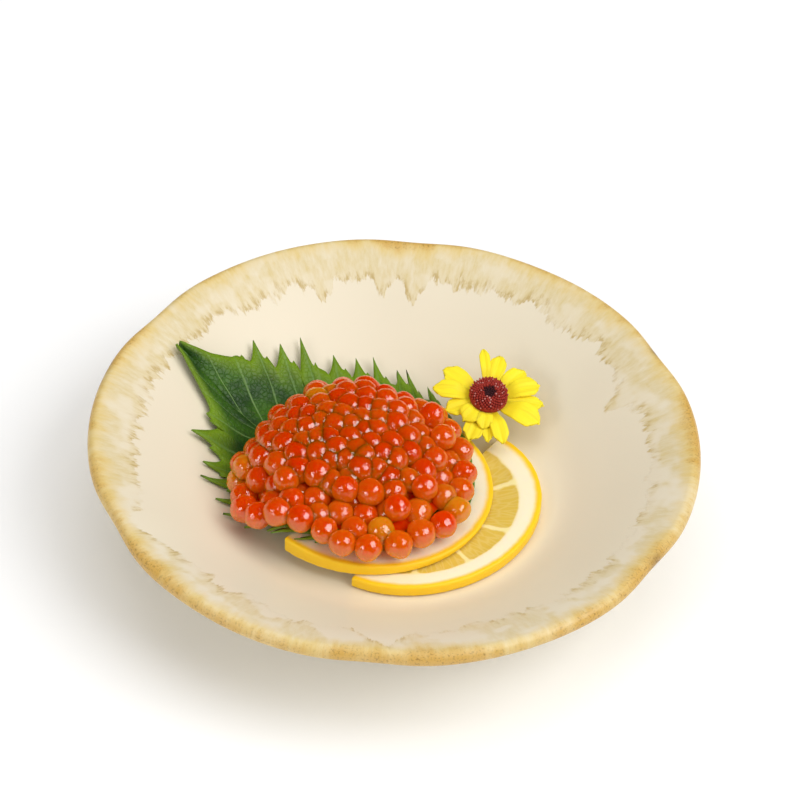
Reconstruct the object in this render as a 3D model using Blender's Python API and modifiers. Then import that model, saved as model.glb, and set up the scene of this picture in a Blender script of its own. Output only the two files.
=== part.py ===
"""Salmon roe served as sashimi on a lobed stoneware plate.

A loose heap of roe lies on one green shiso leaf. The leaf lies on the floor and the wall of
the plate and over the end of two half slices of lemon, and a yellow flower leans beside it.

Metres, +Z up. The origin is under the middle of the plate, on the surface that it stands on.
"""

import math
import random

import bmesh
import bpy
import numpy as np
from mathutils import Matrix, Vector

MM = 0.001

# Plate: a shallow bowl with six soft lobes on a turned foot ring.
RIM_RADIUS = 77.5 * MM
RIM_HEIGHT = 31.0 * MM
FLOOR_RADIUS = 38.0 * MM
FLOOR_HEIGHT = 11.4 * MM
WALL_RADIUS = 52.0 * MM
WALL_HEIGHT = 18.0 * MM
WALL_SLOPE = 0.62
WALL_THICKNESS = 5.2 * MM
LIP_RADIUS = 2.0 * MM
LIP_ANGLES = [math.radians(110.0), math.radians(78.0), math.radians(5.0), math.radians(-65.0)]
FOOT_RADIUS = 38.2 * MM
FOOT_WIDTH = 5.4 * MM
FOOT_ROUNDING = 0.7 * MM
FOOT_TOP = 6.4 * MM
FOOT_SLOPE = 0.30
# Where the section has its points, on the eating surface and then on the outer wall.
TOP_RADII = [0.0, FLOOR_RADIUS, 43.0 * MM, 47.5 * MM, WALL_RADIUS, 59.0 * MM, 67.0 * MM]
WALL_RADII = [66.0 * MM, WALL_RADIUS, 41.2 * MM]
LOBES = 6
NOTCH_ANGLE = math.radians(27.6)
NOTCH_DEPTH = 0.0156
NOTCH_WIDTH = 0.137
PLATE_STEPS = 48

# The pieces keep this distance where one rests on another.
GAP = 0.3 * MM
# Points closer than this are one point.
MERGE_DISTANCE = 0.002 * MM
# Edges that fold more sharply than this are creases, not parts of a round surface.
CREASE = math.radians(40.0)

# Lemon: two half slices. The front one lies on the floor, the back one lies on it.
SLICE_SEGMENTS = 52
SLICE_ROUNDING = 0.55 * MM
FRONT_CENTRE = (7.2 * MM, -7.6 * MM)
FRONT_HALF_AXES = (33.0 * MM, 28.8 * MM)
FRONT_TURN = math.radians(44.0)
FRONT_CHORD_ANGLE = math.radians(56.0)
FRONT_CHORD_OFFSET = -2.2 * MM
FRONT_THICKNESS = 3.1 * MM
FRONT_TOP = FLOOR_HEIGHT + GAP + FRONT_THICKNESS
BACK_CENTRE = (-5.4 * MM, -4.4 * MM)
BACK_HALF_AXES = (31.4 * MM, 30.6 * MM)
BACK_TURN = math.radians(32.0)
BACK_CHORD_ANGLE = math.radians(48.0)
BACK_CHORD_OFFSET = 0.0
BACK_BOTTOM = FRONT_TOP + GAP
BACK_THICKNESS = 3.1 * MM
BACK_THINNING = -0.062

# Shiso leaf: one broad toothed leaf with its tip up on the wall of the plate.
LEAF_BASE = (19.0 * MM, -12.0 * MM)
LEAF_TIP = (-57.5 * MM, 31.3 * MM)
# Each half of the blade: its width, how near to the base it is widest, the share of the length
# where it begins to draw in to the tip, and the share where its teeth end.
LEAF_BACK_HALF = (35.0 * MM, 0.75, 0.82, 0.94)
LEAF_FRONT_HALF = (33.2 * MM, 0.62, 0.70, 0.84)
LEAF_TIP_WIDTH = 0.8 * MM
LEAF_TIP_PINCH = 0.45
LEAF_PINCH_LENGTH = 0.16
LEAF_THICKNESS = 0.6 * MM
LEAF_CLEARANCE = 0.75 * MM
LEAF_TEETH = 15
LEAF_COLUMNS = 4
TOOTH_LENGTH = 6.2 * MM
TOOTH_FORWARD = 3.2 * MM
# The teeth grow from the base over the first share of the length and end over the second.
TOOTH_GROWTH = 0.15
TOOTH_END = 0.08
VEIN_SWEEP = 1.9
# The leaf lifts where it is free: its margin, its tip and the waves between its veins. Where
# the roe presses on it, up to a little outside the outline of the heap, it lies flat.
MARGIN_LIFT = 1.4 * MM
MARGIN_START = 0.45
TIP_LIFT = 1.0 * MM
TIP_START = 0.80
VEIN_WAVE = 0.5 * MM
PRESSED_SHARE = 1.08
FREE_SHARE = 1.35
# Off the edge of a slice it reaches out level and then falls at a slope to the plate.
DRAPE_REACH = 2.2 * MM
DRAPE_SLOPE = 0.75
SLICE_BLEND = 3.0 * MM
PLATE_BLEND = 7.0 * MM
# How far beyond its teeth the roe steps down from the leaf to what is under it.
LEAF_EDGE_STEP = (0.5 * MM, 4.0 * MM)

# Roe: loose eggs in an uneven heap. Each has few sides, and is a little larger than its round
# form so that it is as full. They spread until they lie about their own size apart. Each has
# its own depth under the surface of the heap that it can't rise above. The eggs that show are
# those beyond a share of the way from the heart of the heap to its surface.
EGG_DIAMETER = 6.8 * MM
EGG_SPREAD = 0.06
EGG_COUNT = 206
FOOT_EGGS = 24
EGG_SHOWS = 0.6
EGG_FULLNESS = 1.05
EGG_SPACING = 1.02
EGG_UNEVENNESS = 1.0
FOOT_UNEVENNESS = 0.3
EGG_CLEARANCE = 0.4 * MM
# Each egg is turned on from the last by these angles about Z and about X.
EGG_TURNS = (1.7, 0.9)
HEAP_CENTRE = (-10.8 * MM, -2.6 * MM)
HEAP_HALF_WIDTH = 32.2 * MM
HEAP_HALF_DEPTH = 32.0 * MM
HEAP_TOP = 35.6 * MM
HEAP_LEAN = 0.07
HEAP_EDGE = 0.88
# Where the outline of the heap swells or draws in: direction, amount and width of each.
HEAP_BULGES = (
    (math.radians(-112.0), -3.6 * MM, 0.30),
    (math.radians(-48.0), 1.6 * MM, 0.40),
    (math.radians(48.0), -1.2 * MM, 0.35),
    (math.radians(152.0), -4.0 * MM, 0.35),
    (math.radians(-144.0), 2.0 * MM, 0.15),
    (math.radians(-80.0), 2.6 * MM, 0.75),
    (math.radians(-178.0), 0.6 * MM, 0.15),
    (math.radians(-24.0), 1.0 * MM, 0.20),
)
HEAP_SEED = 3
# Rings of points on the underside of an egg where it may touch what is under it.
TOUCH_RINGS = (0.5, 0.85)
TOUCH_POINTS = 8
SETTLE_STEPS = 140
SETTLE_PUSH = 0.35
CORE_SEGMENTS = 20
CORE_RINGS = 8
CORE_INSET = 4.4 * MM
CORE_CLEARANCE = 1.0 * MM

# Flower: one row of petals and a few behind it, round a domed disc. It leans on the roe, so
# its face is tilted to the front and a little to the right.
FLOWER_CENTRE = (23.6 * MM, 24.3 * MM, 22.4 * MM)
FLOWER_TILT = math.radians(15.0)
FLOWER_LEAN = math.radians(5.0)
# Each petal: its direction in degrees, its length and width in millimetres, and 1 if it lies
# in front or 0 if it lies behind its neighbours.
PETALS = (
    (97.0, 14.4, 2.8, 1),
    (77.0, 13.6, 4.4, 0),
    (44.0, 13.4, 5.4, 0),
    (20.0, 14.4, 5.6, 1),
    (-3.0, 14.8, 4.0, 0),
    (-26.0, 15.4, 6.8, 1),
    (-73.0, 14.8, 4.4, 1),
    (-89.0, 13.8, 2.8, 0),
    (-96.0, 10.6, 4.2, 1),
    (-109.0, 14.6, 5.2, 0),
    (-127.0, 10.6, 5.4, 1),
    (-154.0, 12.4, 5.0, 0),
    (177.0, 14.8, 5.4, 1),
    (148.0, 14.2, 5.6, 0),
)
PETAL_THICKNESS = 0.5 * MM
PETAL_RISE = 0.5 * MM
PETAL_STEP = 1.1 * MM
PETAL_REACH = 15.4 * MM
PETAL_CLEARANCE = 1.6 * MM
# Along a petal: where it starts in the hub, its width there, the share where it is full, the
# share where its end begins and how much it narrows there, how far its corners draw back, its
# hollow middle, and the part of a half wave that it is curved by.
PETAL_START = 2.5 * MM
PETAL_ROOT = 0.45
PETAL_FULL = 0.65
PETAL_END = 0.78
PETAL_END_LOSS = 0.38
PETAL_CORNER = 0.12
PETAL_HOLLOW = 0.08
PETAL_CURVE = 0.8
# The share of a petal over which it comes out from under the disc and then bends up.
PETAL_BEND = (0.18, 0.5)
HUB_RADIUS = 4.2 * MM
HUB_HEIGHT = 1.3 * MM
HUB_SIDES = 20
DISC_RADIUS = 5.4 * MM
DISC_HEIGHT = 3.0 * MM
DISC_FLORETS = 16
DISC_RINGS = 8
DISC_DIMPLE = 0.5 * MM
DIMPLE_REACH = 0.5
FLORET_BUMP = 0.04
CALYX_RADIUS = 3.6 * MM
CALYX_DEPTH = 4.0 * MM
CALYX_TOP = -1.0 * MM
CALYX_SIDES = 12
STEM_RADIUS = 1.2 * MM
STEM_LENGTH = 5.6 * MM

COLLECTION = "salmon_roe_sashimi"


# ---------------------------------------------------------------- helpers


def smoothstep(low, high, value):
    """0 below low, 1 above high, with a soft change between them."""
    t = min(max((value - low) / (high - low), 0.0), 1.0)
    return t * t * (3.0 - 2.0 * t)


def hermite(x, x0, y0, slope0, x1, y1, slope1):
    """Height at x on the smooth curve between two points of known slope."""
    span = x1 - x0
    t = (x - x0) / span
    start = y0 * (2.0 * t**3 - 3.0 * t**2 + 1.0) + slope0 * span * (t**3 - 2.0 * t**2 + t)
    end = y1 * (3.0 * t**2 - 2.0 * t**3) + slope1 * span * (t**3 - t**2)
    return start + end


def soft_max(a, b, blend):
    """The larger of two heights, rounded off where they meet."""
    h = max(blend - abs(a - b), 0.0) / blend
    return max(a, b) + h * h * blend * 0.25


def make_material(name, color, roughness):
    """A Principled material of one colour."""
    material = bpy.data.materials.new(name)
    material.use_nodes = True
    shader = material.node_tree.nodes["Principled BSDF"]
    shader.inputs["Base Color"].default_value = (*color, 1.0)
    shader.inputs["Roughness"].default_value = roughness
    material.diffuse_color = (*color, 1.0)
    return material


def add_object(name, mesh, material, collection):
    """Put a mesh into the collection as a named object with one material."""
    obj = bpy.data.objects.new(name, mesh)
    mesh.materials.clear()
    mesh.materials.append(material)
    collection.objects.link(obj)
    return obj


def mesh_from(bm, name):
    """Turn a bmesh into a mesh and free it."""
    mesh = bpy.data.meshes.new(name)
    bm.to_mesh(mesh)
    bm.free()
    return mesh


def apply_modifiers(obj):
    """Replace an object's mesh by what its modifiers make of it."""
    graph = bpy.context.evaluated_depsgraph_get()
    mesh = bpy.data.meshes.new_from_object(obj.evaluated_get(graph))
    obj.modifiers.clear()
    obj.data = mesh
    return mesh


def thicken(obj, thickness):
    """Give a sheet its thickness, half of it to each side."""
    solidify = obj.modifiers.new("thickness", "SOLIDIFY")
    solidify.thickness = thickness
    solidify.offset = 0.0


def keep_largest_body(mesh):
    """Fill sealed hollows and drop loose scraps: only the largest closed body stays."""
    bm = bmesh.new()
    bm.from_mesh(mesh)
    bmesh.ops.remove_doubles(bm, verts=bm.verts, dist=MERGE_DISTANCE)
    bmesh.ops.dissolve_degenerate(bm, edges=bm.edges, dist=MERGE_DISTANCE)
    bmesh.ops.triangulate(bm, faces=bm.faces)
    bodies = []
    waiting = set(bm.faces)
    while waiting:
        body = [waiting.pop()]
        for face in body:
            for edge in face.edges:
                for other in edge.link_faces:
                    if other in waiting:
                        waiting.remove(other)
                        body.append(other)
        bodies.append(body)
    largest = max(bodies, key=len)
    scraps = [face for body in bodies if body is not largest for face in body]
    bmesh.ops.delete(bm, geom=scraps, context="FACES")
    bm.to_mesh(mesh)
    bm.free()


def join_collection(base, pieces):
    """Join every object of a collection onto the base with one union, then remove them."""
    union = base.modifiers.new("union", "BOOLEAN")
    union.operation = "UNION"
    union.operand_type = "COLLECTION"
    union.collection = pieces
    union.solver = "EXACT"
    mesh = apply_modifiers(base)
    for piece in list(pieces.objects):
        bpy.data.objects.remove(piece)
    bpy.data.collections.remove(pieces)
    keep_largest_body(mesh)


# ---------------------------------------------------------------- plate


def lip_point(angle):
    """A point of the round lip, as radius and height."""
    radius = RIM_RADIUS - LIP_RADIUS + LIP_RADIUS * math.cos(angle)
    height = RIM_HEIGHT - LIP_RADIUS + LIP_RADIUS * math.sin(angle)
    return radius, height


def turned_top(radius):
    """Height of the eating surface before the lobes are pressed in."""
    lip_radius, lip_height = lip_point(LIP_ANGLES[0])
    lip_slope = math.tan(LIP_ANGLES[0] - math.pi / 2.0)
    if radius <= FLOOR_RADIUS:
        return FLOOR_HEIGHT
    if radius <= WALL_RADIUS:
        return hermite(radius, FLOOR_RADIUS, FLOOR_HEIGHT, 0.0, WALL_RADIUS, WALL_HEIGHT, WALL_SLOPE)
    radius = min(radius, lip_radius)
    return hermite(radius, WALL_RADIUS, WALL_HEIGHT, WALL_SLOPE, lip_radius, lip_height, lip_slope)


def turned_bottom(radius):
    """Height of the outer wall between the foot ring and the lip."""
    lip_radius, lip_height = lip_point(LIP_ANGLES[-1])
    lip_slope = -1.0 / math.tan(LIP_ANGLES[-1])
    wall = WALL_HEIGHT - WALL_THICKNESS
    if radius <= WALL_RADIUS:
        return hermite(radius, FOOT_RADIUS, FOOT_TOP, FOOT_SLOPE, WALL_RADIUS, wall, WALL_SLOPE)
    return hermite(radius, WALL_RADIUS, wall, WALL_SLOPE, lip_radius, lip_height, lip_slope)


def lobe_scale(angle, radius):
    """How far a point is pressed in: 1 on a lobe, a little less at a notch of the rim."""
    step = 2.0 * math.pi / LOBES
    offset = (angle - NOTCH_ANGLE + step / 2.0) % step - step / 2.0
    pinch = NOTCH_DEPTH * math.exp(-((offset / NOTCH_WIDTH) ** 2))
    return 1.0 - pinch * smoothstep(FLOOR_RADIUS, RIM_RADIUS, radius)


def plate_top(x, y):
    """Height of the eating surface at a place on the plate."""
    radius = math.hypot(x, y)
    return turned_top(radius / lobe_scale(math.atan2(y, x), radius))


def plate_profile():
    """Half section of the plate, from the middle of the floor out and back underneath."""
    foot_inner = FOOT_RADIUS - FOOT_WIDTH
    points = [(radius, turned_top(radius)) for radius in TOP_RADII]
    points += [lip_point(angle) for angle in LIP_ANGLES]
    points += [(radius, turned_bottom(radius)) for radius in WALL_RADII]
    points += [
        (FOOT_RADIUS, FOOT_TOP - FOOT_ROUNDING),
        (FOOT_RADIUS, FOOT_ROUNDING),
        (FOOT_RADIUS - FOOT_ROUNDING, 0.0),
        (foot_inner + FOOT_ROUNDING, 0.0),
        (foot_inner, FOOT_ROUNDING),
        (foot_inner - FOOT_ROUNDING, FOOT_TOP),
        (0.0, FOOT_TOP),
    ]
    return points


def make_plate(collection):
    """Turn the section into a plate and press the notches into its rim."""
    bm = bmesh.new()
    across = (math.cos(NOTCH_ANGLE), math.sin(NOTCH_ANGLE))
    points = [
        bm.verts.new((radius * across[0], radius * across[1], height))
        for radius, height in plate_profile()
    ]
    for first, second in zip(points, points[1:]):
        bm.edges.new((first, second))
    glaze = make_material("cream_glaze", (0.86, 0.79, 0.62), 0.4)
    plate = add_object("plate", mesh_from(bm, "plate"), glaze, collection)
    screw = plate.modifiers.new("turn", "SCREW")
    screw.steps = PLATE_STEPS
    screw.render_steps = PLATE_STEPS
    screw.use_merge_vertices = True
    screw.merge_threshold = MERGE_DISTANCE
    mesh = apply_modifiers(plate)
    bm = bmesh.new()
    bm.from_mesh(mesh)
    bmesh.ops.remove_doubles(bm, verts=bm.verts, dist=MERGE_DISTANCE)
    for vert in bm.verts:
        scale = lobe_scale(math.atan2(vert.co.y, vert.co.x), vert.co.xy.length)
        vert.co.x *= scale
        vert.co.y *= scale
    bmesh.ops.recalc_face_normals(bm, faces=bm.faces)
    bm.to_mesh(mesh)
    bm.free()
    mesh.shade_smooth()
    mesh.set_sharp_from_angle(angle=CREASE)


# ---------------------------------------------------------------- lemon


def back_top(x):
    """Upper face of the back slice, which is cut thicker at its left end."""
    return BACK_BOTTOM + BACK_THICKNESS + BACK_THINNING * (x - BACK_CENTRE[0])


def chord_distance(x, y, centre, angle, offset):
    """Distance from a slice's straight cut, positive on the side that was cut away."""
    return (y - centre[1]) * math.cos(angle) - (x - centre[0]) * math.sin(angle) - offset


def rim_distance(x, y, centre, half_axes, turn):
    """Distance outside the rind of a slice, negative on the slice."""
    dx = (x - centre[0]) * math.cos(turn) + (y - centre[1]) * math.sin(turn)
    dy = (y - centre[1]) * math.cos(turn) - (x - centre[0]) * math.sin(turn)
    reach = math.hypot(dx / half_axes[0], dy / half_axes[1])
    return (reach - 1.0) * min(half_axes)


def front_distance(x, y):
    """Distance outside the front slice."""
    return max(
        rim_distance(x, y, FRONT_CENTRE, FRONT_HALF_AXES, FRONT_TURN),
        chord_distance(x, y, FRONT_CENTRE, FRONT_CHORD_ANGLE, FRONT_CHORD_OFFSET),
    )


def back_distance(x, y):
    """Distance outside the back slice."""
    return max(
        rim_distance(x, y, BACK_CENTRE, BACK_HALF_AXES, BACK_TURN),
        chord_distance(x, y, BACK_CENTRE, BACK_CHORD_ANGLE, BACK_CHORD_OFFSET),
    )


def slice_mesh(name, centre, half_axes, turn, chord_angle, chord_offset, bottom, top):
    """A half slice: an oval slab cut along a straight line, with softened edges."""
    bm = bmesh.new()
    bmesh.ops.create_cone(
        bm, cap_ends=True, segments=SLICE_SEGMENTS, radius1=1.0, radius2=1.0, depth=1.0
    )
    bmesh.ops.scale(bm, vec=(*half_axes, 1.0), verts=bm.verts)
    bmesh.ops.rotate(bm, matrix=Matrix.Rotation(turn, 3, "Z"), verts=bm.verts)
    bmesh.ops.translate(bm, vec=(*centre, 0.0), verts=bm.verts)
    cut_away = Vector((-math.sin(chord_angle), math.cos(chord_angle), 0.0))
    bmesh.ops.bisect_plane(
        bm,
        geom=bm.verts[:] + bm.edges[:] + bm.faces[:],
        dist=MERGE_DISTANCE,
        plane_co=Vector((*centre, 0.0)) + cut_away * chord_offset,
        plane_no=cut_away,
        clear_outer=True,
    )
    bmesh.ops.holes_fill(bm, edges=bm.edges, sides=0)
    for vert in bm.verts:
        vert.co.z = top(vert.co.x) if vert.co.z > 0.0 else bottom
    edges = [edge for edge in bm.edges if edge.calc_face_angle(0.0) > CREASE]
    bmesh.ops.bevel(
        bm,
        geom=edges,
        offset=SLICE_ROUNDING,
        segments=2,
        profile=0.5,
        affect="EDGES",
        material=-1,
    )
    bmesh.ops.triangulate(bm, faces=bm.faces)
    bmesh.ops.recalc_face_normals(bm, faces=bm.faces)
    mesh = mesh_from(bm, name)
    mesh.shade_smooth()
    mesh.set_sharp_from_angle(angle=CREASE)
    return mesh


def make_lemon(collection):
    """The two half slices."""
    lemon = make_material("lemon", (0.93, 0.80, 0.22), 0.45)
    front = slice_mesh(
        "lemon_slice_front",
        FRONT_CENTRE,
        FRONT_HALF_AXES,
        FRONT_TURN,
        FRONT_CHORD_ANGLE,
        FRONT_CHORD_OFFSET,
        FLOOR_HEIGHT + GAP,
        lambda x: FRONT_TOP,
    )
    add_object("lemon_slice_front", front, lemon, collection)
    back = slice_mesh(
        "lemon_slice_back",
        BACK_CENTRE,
        BACK_HALF_AXES,
        BACK_TURN,
        BACK_CHORD_ANGLE,
        BACK_CHORD_OFFSET,
        BACK_BOTTOM,
        back_top,
    )
    add_object("lemon_slice_back", back, lemon, collection)


# ---------------------------------------------------------------- outline of the heap


def heap_reach(angle):
    """How far the heap spreads from its middle at an angle."""
    reach = 1.0 / math.hypot(math.cos(angle) / HEAP_HALF_WIDTH, math.sin(angle) / HEAP_HALF_DEPTH)
    for where, size, width in HEAP_BULGES:
        turn = (angle - where + math.pi) % (2.0 * math.pi) - math.pi
        reach += size * math.exp(-((turn / width) ** 2))
    return reach


def heap_share(x, y):
    """0 in the middle of the heap, 1 at its outline."""
    dx = x - HEAP_CENTRE[0]
    dy = y - HEAP_CENTRE[1]
    return math.hypot(dx, dy) / heap_reach(math.atan2(dy, dx))


# ---------------------------------------------------------------- leaf


def leaf_frame():
    """The leaf's base, its direction to the tip, the direction across, and its length."""
    base = Vector(LEAF_BASE)
    along = Vector(LEAF_TIP) - base
    length = along.length
    along.normalize()
    across = Vector((along.y, -along.x))
    return base, along, across, length


def leaf_half_width(share, side):
    """Half width of the blade at a share of its length; the two halves differ a little."""
    width, fullness, drawn_in, _ = LEAF_BACK_HALF if side > 0.0 else LEAF_FRONT_HALF
    rounded = math.sin(math.pi * min(max(share, 0.0), 1.0) ** fullness)
    pinch = 1.0 - LEAF_TIP_PINCH * smoothstep(drawn_in, drawn_in + LEAF_PINCH_LENGTH, share)
    return width * rounded * pinch + LEAF_TIP_WIDTH


def draped(distance, top):
    """Height of a leaf that falls off the edge of a slice."""
    return top - DRAPE_SLOPE * max(distance - DRAPE_REACH, 0.0)


def under_leaf(x, y):
    """What the leaf lies on: the plate, and the slices with the leaf's fall from them."""
    on_front = draped(front_distance(x, y), FRONT_TOP)
    on_back = draped(back_distance(x, y), back_top(x))
    slices = soft_max(on_front, on_back, SLICE_BLEND)
    return soft_max(plate_top(x, y), slices, PLATE_BLEND)


def leaf_height(x, y):
    """Height of the leaf's middle where the roe presses it down."""
    return under_leaf(x, y) + LEAF_CLEARANCE + LEAF_THICKNESS / 2.0


def leaf_point(side, edge_share, tooth):
    """A point of the leaf from its side (-1 to 1) and the place where its vein meets the edge.

    The side veins run forward from the midrib to the edge. tooth is 1 at the point of a tooth
    of the edge, -1 between two teeth and 0 elsewhere.
    """
    base, along, across, length = leaf_frame()
    out = abs(side)
    rib_share = 1.0 - (1.0 - edge_share) ** (1.0 / VEIN_SWEEP)
    share = rib_share + (edge_share - rib_share) * out
    last_tooth = LEAF_BACK_HALF[3] if side > 0.0 else LEAF_FRONT_HALF[3]
    tooth_size = smoothstep(0.0, TOOTH_GROWTH, edge_share)
    tooth_size *= 1.0 - smoothstep(last_tooth - TOOTH_END, last_tooth, edge_share)
    reach = out * leaf_half_width(edge_share, side) + 0.5 * tooth * TOOTH_LENGTH * tooth_size
    forward = share * length + max(tooth, 0) * TOOTH_FORWARD * tooth_size
    place = base + along * forward + across * math.copysign(reach, side)
    lift = MARGIN_LIFT * smoothstep(MARGIN_START, 1.0, out)
    lift += TIP_LIFT * smoothstep(TIP_START, 1.0, share)
    lift += VEIN_WAVE * math.cos(math.pi * edge_share * LEAF_TEETH) * out * (1.0 - 0.5 * out)
    lift *= smoothstep(PRESSED_SHARE, FREE_SHARE, heap_share(place.x, place.y))
    return Vector((place.x, place.y, leaf_height(place.x, place.y) + lift))


def make_leaf(collection):
    """A grid shaped into the blade, with two rows of it for each tooth, then thickened."""
    rows = 2 * LEAF_TEETH + 2
    bm = bmesh.new()
    bmesh.ops.create_grid(bm, x_segments=2 * LEAF_COLUMNS, y_segments=rows, size=1.0)
    for vert in bm.verts:
        side = vert.co.x
        edge_share = (vert.co.y + 1.0) / 2.0
        row = round(edge_share * rows)
        tooth = 0
        if math.isclose(abs(side), 1.0, abs_tol=0.001) and 0 < row < rows:
            tooth = 1 if row % 2 == 0 else -1
        vert.co = leaf_point(side, edge_share, tooth)
    bmesh.ops.triangulate(bm, faces=bm.faces)
    green = make_material("shiso_green", (0.10, 0.24, 0.06), 0.55)
    leaf = add_object("shiso_leaf", mesh_from(bm, "shiso_leaf"), green, collection)
    thicken(leaf, LEAF_THICKNESS)


def on_leaf(x, y):
    """1 on the leaf and its teeth, 0 a little way outside it."""
    base, along, across, length = leaf_frame()
    place = Vector((x, y)) - base
    share = place.dot(along) / length
    if share < 0.0 or share > 1.0:
        return 0.0
    side = place.dot(across)
    beyond = abs(side) - leaf_half_width(share, side) - TOOTH_LENGTH / 2.0
    return 1.0 - smoothstep(*LEAF_EDGE_STEP, beyond)


# ---------------------------------------------------------------- flower


def flower_matrix():
    """From the flower's own frame, with its face up, to its place on the plate."""
    tilt = Matrix.Rotation(FLOWER_TILT, 4, "X") @ Matrix.Rotation(FLOWER_LEAN, 4, "Y")
    return Matrix.Translation(FLOWER_CENTRE) @ tilt


def petal_mesh(angle, length, width, rise):
    """One petal, narrow at the hub, round at its end, and curved up along its middle."""
    bm = bmesh.new()
    bmesh.ops.create_grid(bm, x_segments=2, y_segments=3, size=1.0)
    for vert in bm.verts:
        side = vert.co.x
        share = (vert.co.y + 1.0) / 2.0
        outline = PETAL_ROOT + (1.0 - PETAL_ROOT) * smoothstep(0.0, PETAL_FULL, share)
        outline -= PETAL_END_LOSS * smoothstep(PETAL_END, 1.0, share)
        out = PETAL_START + share * (length - PETAL_START)
        out -= PETAL_CORNER * width * abs(side) * share
        lift = rise * math.sin(PETAL_CURVE * math.pi * share) * smoothstep(*PETAL_BEND, share)
        lift -= PETAL_HOLLOW * width * (1.0 - abs(side)) * share
        vert.co = (out, side * outline * width / 2.0, lift)
    bmesh.ops.triangulate(bm, faces=bm.faces)
    bmesh.ops.rotate(bm, matrix=Matrix.Rotation(angle, 3, "Z"), verts=bm.verts)
    return mesh_from(bm, "petal")


def make_petals(collection):
    """The petals, joined to the hub that they grow from."""
    yellow = make_material("petal_yellow", (0.95, 0.83, 0.03), 0.5)
    bm = bmesh.new()
    bmesh.ops.create_cone(
        bm,
        cap_ends=True,
        segments=HUB_SIDES,
        radius1=HUB_RADIUS,
        radius2=HUB_RADIUS,
        depth=HUB_HEIGHT,
    )
    petals = add_object("flower_petals", mesh_from(bm, "flower_petals"), yellow, collection)
    pieces = bpy.data.collections.new("petals_to_join")
    bpy.context.scene.collection.children.link(pieces)
    for degrees, length, width, front in PETALS:
        rise = PETAL_RISE + front * PETAL_STEP
        mesh = petal_mesh(math.radians(degrees), length * MM, width * MM, rise)
        thicken(add_object("petal", mesh, yellow, pieces), PETAL_THICKNESS)
    join_collection(petals, pieces)
    petals.data.transform(flower_matrix())


def make_disc(collection):
    """The domed disc, sunk a little in its middle and uneven where its florets stand."""
    maroon = make_material("disc_maroon", (0.20, 0.03, 0.02), 0.8)
    bm = bmesh.new()
    bmesh.ops.create_uvsphere(bm, u_segments=DISC_FLORETS, v_segments=DISC_RINGS, radius=1.0)
    below = [vert for vert in bm.verts if vert.co.z < -0.001]
    bmesh.ops.delete(bm, geom=below, context="VERTS")
    bmesh.ops.holes_fill(bm, edges=bm.edges, sides=0)
    for index, vert in enumerate(bm.verts):
        floret = 1.0 + FLORET_BUMP * (index % 2)
        dimple = DISC_DIMPLE * (1.0 - smoothstep(0.0, DIMPLE_REACH, vert.co.xy.length))
        height = vert.co.z * DISC_HEIGHT * floret - dimple
        vert.co = (vert.co.x * DISC_RADIUS * floret, vert.co.y * DISC_RADIUS * floret, height)
    bmesh.ops.triangulate(bm, faces=bm.faces)
    bmesh.ops.translate(bm, vec=(0.0, 0.0, HUB_HEIGHT / 2.0 + GAP), verts=bm.verts)
    mesh = mesh_from(bm, "flower_disc")
    mesh.transform(flower_matrix())
    add_object("flower_disc", mesh, maroon, collection)


def make_calyx(collection):
    """The green cup under the petals with the short stub of its stem."""
    green = make_material("calyx_green", (0.20, 0.36, 0.09), 0.6)
    bm = bmesh.new()
    bmesh.ops.create_cone(
        bm,
        cap_ends=True,
        segments=CALYX_SIDES,
        radius1=STEM_RADIUS,
        radius2=CALYX_RADIUS,
        depth=CALYX_DEPTH,
    )
    bmesh.ops.translate(bm, vec=(0.0, 0.0, CALYX_TOP - CALYX_DEPTH / 2.0), verts=bm.verts)
    end = min(bm.faces, key=lambda face: face.calc_center_median().z)
    stem = bmesh.ops.extrude_discrete_faces(bm, faces=[end])["faces"][0]
    bmesh.ops.translate(bm, vec=(0.0, 0.0, -STEM_LENGTH), verts=stem.verts)
    bmesh.ops.triangulate(bm, faces=bm.faces)
    mesh = mesh_from(bm, "flower_calyx")
    mesh.transform(flower_matrix())
    mesh.shade_smooth()
    mesh.set_sharp_from_angle(angle=CREASE)
    add_object("flower_calyx", mesh, green, collection)


def under_petals(x, y):
    """Height just below the petals where they spread, and far above them elsewhere."""
    flat = Vector((x, y, FLOWER_CENTRE[2]))
    if (flower_matrix().inverted() @ flat).xy.length > PETAL_REACH + EGG_DIAMETER / 2.0:
        return math.inf
    rise = (y - FLOWER_CENTRE[1]) * math.tan(FLOWER_TILT)
    rise -= (x - FLOWER_CENTRE[0]) * math.tan(FLOWER_LEAN)
    return FLOWER_CENTRE[2] + rise - PETAL_CLEARANCE


# ---------------------------------------------------------------- roe


def under_roe(x, y):
    """What the roe lies on: the leaf where it reaches, and otherwise the slices and the plate."""
    bare = plate_top(x, y)
    if front_distance(x, y) < 0.0:
        bare = max(bare, FRONT_TOP)
    if back_distance(x, y) < 0.0:
        bare = max(bare, back_top(x))
    leaf = leaf_height(x, y) + LEAF_THICKNESS / 2.0
    return bare + (leaf - bare) * on_leaf(x, y) + GAP


def resting_height(x, y, radius):
    """Height of the middle of an egg that lies on what is under it, which may be a slope."""
    height = under_roe(x, y) + EGG_CLEARANCE + radius
    for share in TOUCH_RINGS:
        rise = radius * math.sqrt(1.0 - share * share)
        for turn in range(TOUCH_POINTS):
            angle = turn * 2.0 * math.pi / TOUCH_POINTS
            beside_x = x + radius * share * math.cos(angle)
            beside_y = y + radius * share * math.sin(angle)
            height = max(height, under_roe(beside_x, beside_y) + EGG_CLEARANCE + rise)
    return height


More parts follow.
